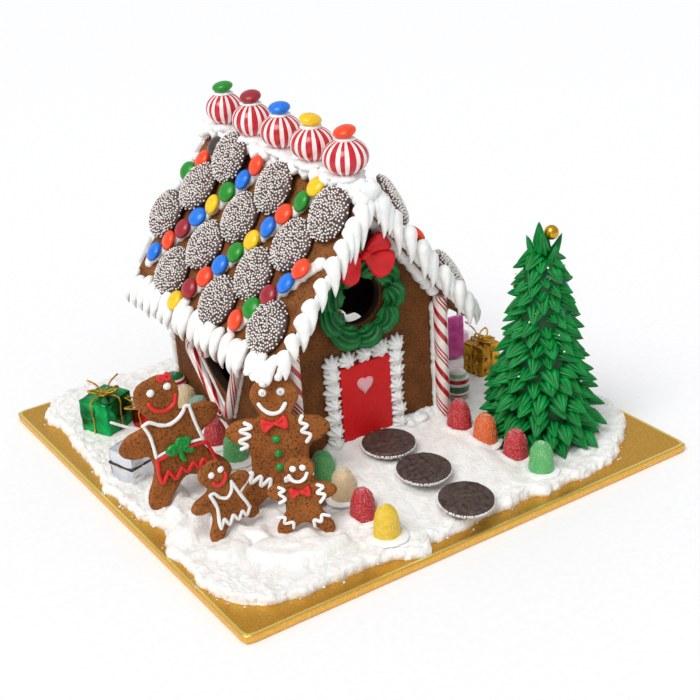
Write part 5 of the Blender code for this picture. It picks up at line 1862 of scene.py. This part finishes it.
def cord_round(form, matrix, size):
    """Cords down the four sides of a box and over its top."""
    z = size[2] + CORD_RADIUS * 0.5
    for along in (0, 1):
        reach = size[along] / 2 + CORD_RADIUS * 0.6
        path = []
        for share, height in ((-1, 0.001), (-1, z * 0.5), (-1, z), (0, z + 0.0004), (1, z), (1, z * 0.5),
                              (1, 0.001)):
            spot = Vector((0, 0, height))
            spot[along] = share * reach
            path.append(matrix @ spot)
        twisted(form, path, CORD_RADIUS)


def bow_loops(form, matrix, top, radius, loops):
    """Cord loops and ends that spring from a knot."""
    knot = Vector((0, 0, top))
    for turn, reach, rise, width in loops:
        out, side = compass(turn)
        way = out * reach + UP * rise
        if width:
            path = [knot, knot + way * 0.55 + side * width, knot + way, knot + way * 0.5 - side * width,
                    knot + UP * 0.0008]
        else:
            path = [knot, knot + way * 0.5 + UP * 0.002, knot + way]
        twisted(form, [matrix @ spot for spot in path], radius)
    form.lump(matrix @ knot, (0.0016, 0.0016, 0.0014), 1)


def raised_stars(form, matrix, size):
    """Small stars pressed into the foil of the box's four sides."""
    outline = []
    for i in range(10):
        reach = 0.0021 if i % 2 == 0 else 0.0009
        outline.append(Vector((reach * math.sin(math.pi * i / 5), reach * math.cos(math.pi * i / 5))))
    for quarter in range(4):
        turned = matrix @ Matrix.Rotation(quarter * math.pi / 2, 4, "Z")
        face = -size[quarter % 2 == 0] / 2 - 0.0006
        for across, up in FOIL_STARS:

            def on_side(x, z, lift):
                return turned @ Vector((across + x, face - lift, up + z))

            pillow(form, outline, on_side, 0.0007, 1)


def add_tied_gift(word):
    """A foil box with gold cord. The red one stands behind the mother and has no CAD node."""
    look, slot, spot, turn, shift, size, salt, radius, loops = TIED_GIFTS[word]
    node = f"gift_{word}"
    matrix = gift_frame(spot or node, turn, shift)
    form = Form(look, "gold_cord")
    wrapped_box(form, matrix, size, salt)
    if word == "gold":
        raised_stars(form, matrix, size)
    cord_round(form, matrix, size)
    bow_loops(form, matrix, size[2] + 0.0012, radius, loops)
    form.piece(f"wrapped_gift_{word}", () if spot else [node])


def add_silver_gift():
    """A silver box with a black band round its waist and a white stick across its top."""
    matrix = gift_frame("gift_silver", 18)
    form = Form("silver_foil", "black_ribbon", "sugar_grain")
    wrapped_box(form, matrix, (0.023, 0.022, 0.024), 5, crease=0.0013)
    corners = ((-0.0118, -0.0113), (0.0118, -0.0113), (0.0118, 0.0113), (-0.0118, 0.0113))
    form.loft([[matrix @ Vector((x * grow, y * grow, height)) for x, y in corners]
               for grow, height in ((0.94, 0.0122), (1.02, 0.0122), (1.02, 0.0138), (0.94, 0.0138))],
              1, closed=True)
    stick = [matrix @ Vector(spot) for spot in ((-0.001, 0.016, 0.0375), (0.007, 0.010, 0.0320),
                                                (0.016, 0.002, 0.0265))]
    piped(form, stick, 0.0010, 2, wobble=0.0)
    form.piece("wrapped_gift_silver", ["gift_silver"])


def add_packet():
    """A pale packet with a magenta card before it."""
    form = Form("pink_wrapper", "magenta_print")
    matrix = gift_frame("packet_pink", -12)
    wrapped_box(form, matrix @ Matrix.Translation((0.004, 0, 0)), (0.030, 0.011, 0.020), 12)
    wrapped_box(form, matrix @ Matrix.Translation((0.0035, -0.0085, 0.003)), (0.0170, 0.0030, 0.035),
                14, 1, puff=0.0003, crease=0.0006)
    form.piece("wrapped_packet", ["packet_pink"])


def add_gifts():
    add_tied_gift("green")
    add_tied_gift("red")
    add_silver_gift()
    add_tied_gift("gold")
    add_packet()


# The two banded candies: middle in plan, radius, and whether the bands run from the top down
CANDIES = {"left": (-0.0765, 0.1040, 0.0098, True), "right": (0.0915, -0.0290, 0.0088, False)}
CANDY_INKS = ("stick_white", "stick_red", "band_green", "band_pale")
# Ends of the bands as shares of the height, and each one's look
CANDY_ENDS = (0.02, 0.13, 0.18, 0.26, 0.33, 0.53, 0.62, 0.74, 0.82, 0.90, 1.0)
CANDY_BANDS = (2, 0, 1, 0, 2, 0, 1, 0, 3, 0)


def add_candies():
    """Barrel-shaped candies with bands of red, white and green."""
    for word, (x, y, radius, falling) in CANDIES.items():
        foot_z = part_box(f"striped_candy_{word}")[0].z
        form = Form(*CANDY_INKS)
        for start, end, ink in zip(CANDY_ENDS, CANDY_ENDS[1:], CANDY_BANDS):
            rings = []
            for k in range(6):
                share = start + (end - start) * k / 5
                reach = radius * math.sqrt(max(0.03, 1 - abs(2 * share - 1) ** 3.4))
                height = (1 - share if falling else share) * CANDY_HEIGHT
                rings.append(level_ring(Vector((x, y, foot_z + height)), reach, 28))
            form.loft(rings, ink)
        form.piece(f"banded_candy_{word}", [f"striped_candy_{word}"], sharp=60)


# A gumdrop's section from its foot: shares of the radius and of the height
GUMDROP_PROFILE = ((0.90, 0.0), (1.0, 0.06), (1.02, 0.14), (0.96, 0.30), (0.92, 0.46), (0.88, 0.60),
                   (0.80, 0.74), (0.66, 0.86), (0.46, 0.945), (0.22, 0.99), (0.05, 1.0))
POINTED_PROFILE = ((0.90, 0.0), (1.05, 0.08), (1.08, 0.20), (1.00, 0.36), (0.86, 0.52), (0.68, 0.68),
                   (0.50, 0.80), (0.34, 0.90), (0.20, 0.97), (0.05, 1.0))


def surface_spot(rings, row, share):
    """A point on lofted rings at a share of the way up and round, and its outward direction."""
    at = row * (len(rings) - 1)
    low = min(int(at), len(rings) - 2)
    around = len(rings[0])
    i = int(share * around) % around
    here, above = rings[low][i], rings[low + 1][i]
    normal = (rings[low][(i + 1) % around] - here).normalized().cross((above - here).normalized())
    return here.lerp(above, at - low), normal.normalized() if normal.length > 0 else UP


def crystal(form, centre, normal, size, turn):
    """A grain of sugar: a small block that stands on one corner."""
    across = normal.orthogonal().normalized()
    over = normal.cross(across)
    points = ring(centre, across * size, over * size, 4, turn)
    points.extend([centre + normal * size * 1.2, centre - normal * size * 0.6])
    faces = [(i, (i + 1) % 4, 4) for i in range(4)] + [((i + 1) % 4, i, 5) for i in range(4)]
    form.add(points, faces, 1)


def add_gumdrops():
    chance = random.Random(53)
    for index, (x, y, colour, pointed) in enumerate(GUMDROPS, 1):
        form = Form(f"jelly_{colour}", f"{colour}_sugar")
        foot = Vector((x, y, snow_top(x, y) - GUMDROP_SINK))
        rings = []
        for share, lift in POINTED_PROFILE if pointed else GUMDROP_PROFILE:
            around = level_ring(foot + UP * lift * GUMDROP_HEIGHT, share * GUMDROP_RADIUS, 26)
            rings.append([spot + (spot - foot) * 0.035 * noise.noise(spot * 190) for spot in around])
        form.loft(rings, 0)
        for _ in range(SUGAR_GRAINS):
            spot, normal = surface_spot(rings, chance.uniform(0.08, 0.985), chance.random())
            size = chance.uniform(0.00024, 0.00048)
            crystal(form, spot, normal, size, chance.uniform(0, 1.5))
        form.piece(f"sugared_gumdrop_{index:02d}", [f"gumdrop_{index:02d}"])


def add_feet():
    """Smooth rings of icing that hold the gumdrops, and lumps of it at the foot of the front wall."""
    chance = random.Random(59)
    form = Form("foot_icing", "icing")
    for x, y, _colour, _pointed in GUMDROPS:
        shift = Vector((chance.uniform(-0.0014, 0.0006), chance.uniform(-0.0014, 0.0004), 0))
        reach = GUMDROP_RADIUS * chance.uniform(1.42, 1.60)
        form.lump(Vector((x, y, snow_top(x, y) + 0.0010)) + shift, (reach, reach * 0.96, 0.0022), 0,
                  rings=9, sides=32, wobble=0.12)
    for _ in range(22):
        x = chance.uniform(0.0220, 0.0465)
        y = FRONT_Y - abs(chance.gauss(0, 0.0030)) - 0.0006
        size = chance.uniform(0.0030, 0.0058)
        form.lump(Vector((x, y, snow_top(x, y) + chance.uniform(0.0004, 0.0026))),
                  (size, size * 0.7, size * 0.62), 1, rings=9, sides=18, wobble=0.6)
    form.piece("foot_icing")


# --- stage ------------------------------------------------------------------------------------

CAMERA_SPOT = Vector((-0.4549, -0.7478, 0.4828))
CAMERA_AZIMUTH = math.radians(-32.26)
CAMERA_ELEVATION = math.radians(25.386)
CAMERA_ROLL = -0.06191
CAMERA_LENS = 69.8
FLOOR_HALF = 600.0
SUN_FROM = Vector((-0.80, -0.30, 1.15))
SUN_ANGLE = math.radians(34)
SUN_STRENGTH = 1.95
SUN_COLOUR = (1.0, 0.985, 0.96)
SKY_COLOUR = (0.96, 0.98, 1.0, 1.0)
SKY_STRENGTH = 0.60


def add_camera():
    a, e, r = CAMERA_AZIMUTH, CAMERA_ELEVATION, CAMERA_ROLL
    back = Vector((math.sin(a) * math.cos(e), -math.cos(a) * math.cos(e), math.sin(e)))
    right = Vector((math.cos(a), math.sin(a), 0))
    over = back.cross(right)
    rolled_right = right * math.cos(r) + over * math.sin(r)
    rolled_over = over * math.cos(r) - right * math.sin(r)
    camera = bpy.data.cameras.new("camera")
    camera.lens = CAMERA_LENS
    camera.sensor_width = 36
    obj = place_in_scene(bpy.data.objects.new("camera", camera))
    axes = Matrix((rolled_right, rolled_over, back)).transposed().to_4x4()
    obj.matrix_world = Matrix.Translation(CAMERA_SPOT) @ axes
    bpy.context.scene.camera = obj


def add_floor():
    mesh = bpy.data.meshes.new("floor")
    with opened(mesh) as bm:
        bmesh.ops.create_grid(bm, x_segments=2, y_segments=2, size=FLOOR_HALF)
    mesh.materials.append(plain_look("floor_look", (252, 252, 253), (249, 249, 251), 0.6))
    place_in_scene(bpy.data.objects.new("floor", mesh))


def add_light():
    """A bright even sky, and a broad sun from the left."""
    world = bpy.data.worlds.new("studio")
    world.use_nodes = True
    background = world.node_tree.nodes["Background"]
    background.inputs["Color"].default_value = SKY_COLOUR
    background.inputs["Strength"].default_value = SKY_STRENGTH
    bpy.context.scene.world = world
    sun = bpy.data.lights.new("key", "SUN")
    sun.angle = SUN_ANGLE
    sun.energy = SUN_STRENGTH
    sun.color = SUN_COLOUR
    obj = place_in_scene(bpy.data.objects.new("key", sun))
    obj.rotation_euler = SUN_FROM.to_track_quat("Z", "Y").to_euler()
    bpy.context.scene.view_settings.view_transform = "Standard"


# --- the whole --------------------------------------------------------------------------------

FIGURE_HEAPS = figure_heaps()
LOOKS = make_looks()

for add in (add_camera, add_floor, add_light, add_board, add_snow, add_crumbs, add_walls, add_roof,
            add_seams, add_icicles, add_ridge, add_balls, add_lentils, add_disc_rows, add_stones,
            add_door, add_door_border, add_wreath, add_bow, add_sticks, add_canes, add_people,
            add_tree, add_gifts, add_candies, add_gumdrops, add_feet):
    add()
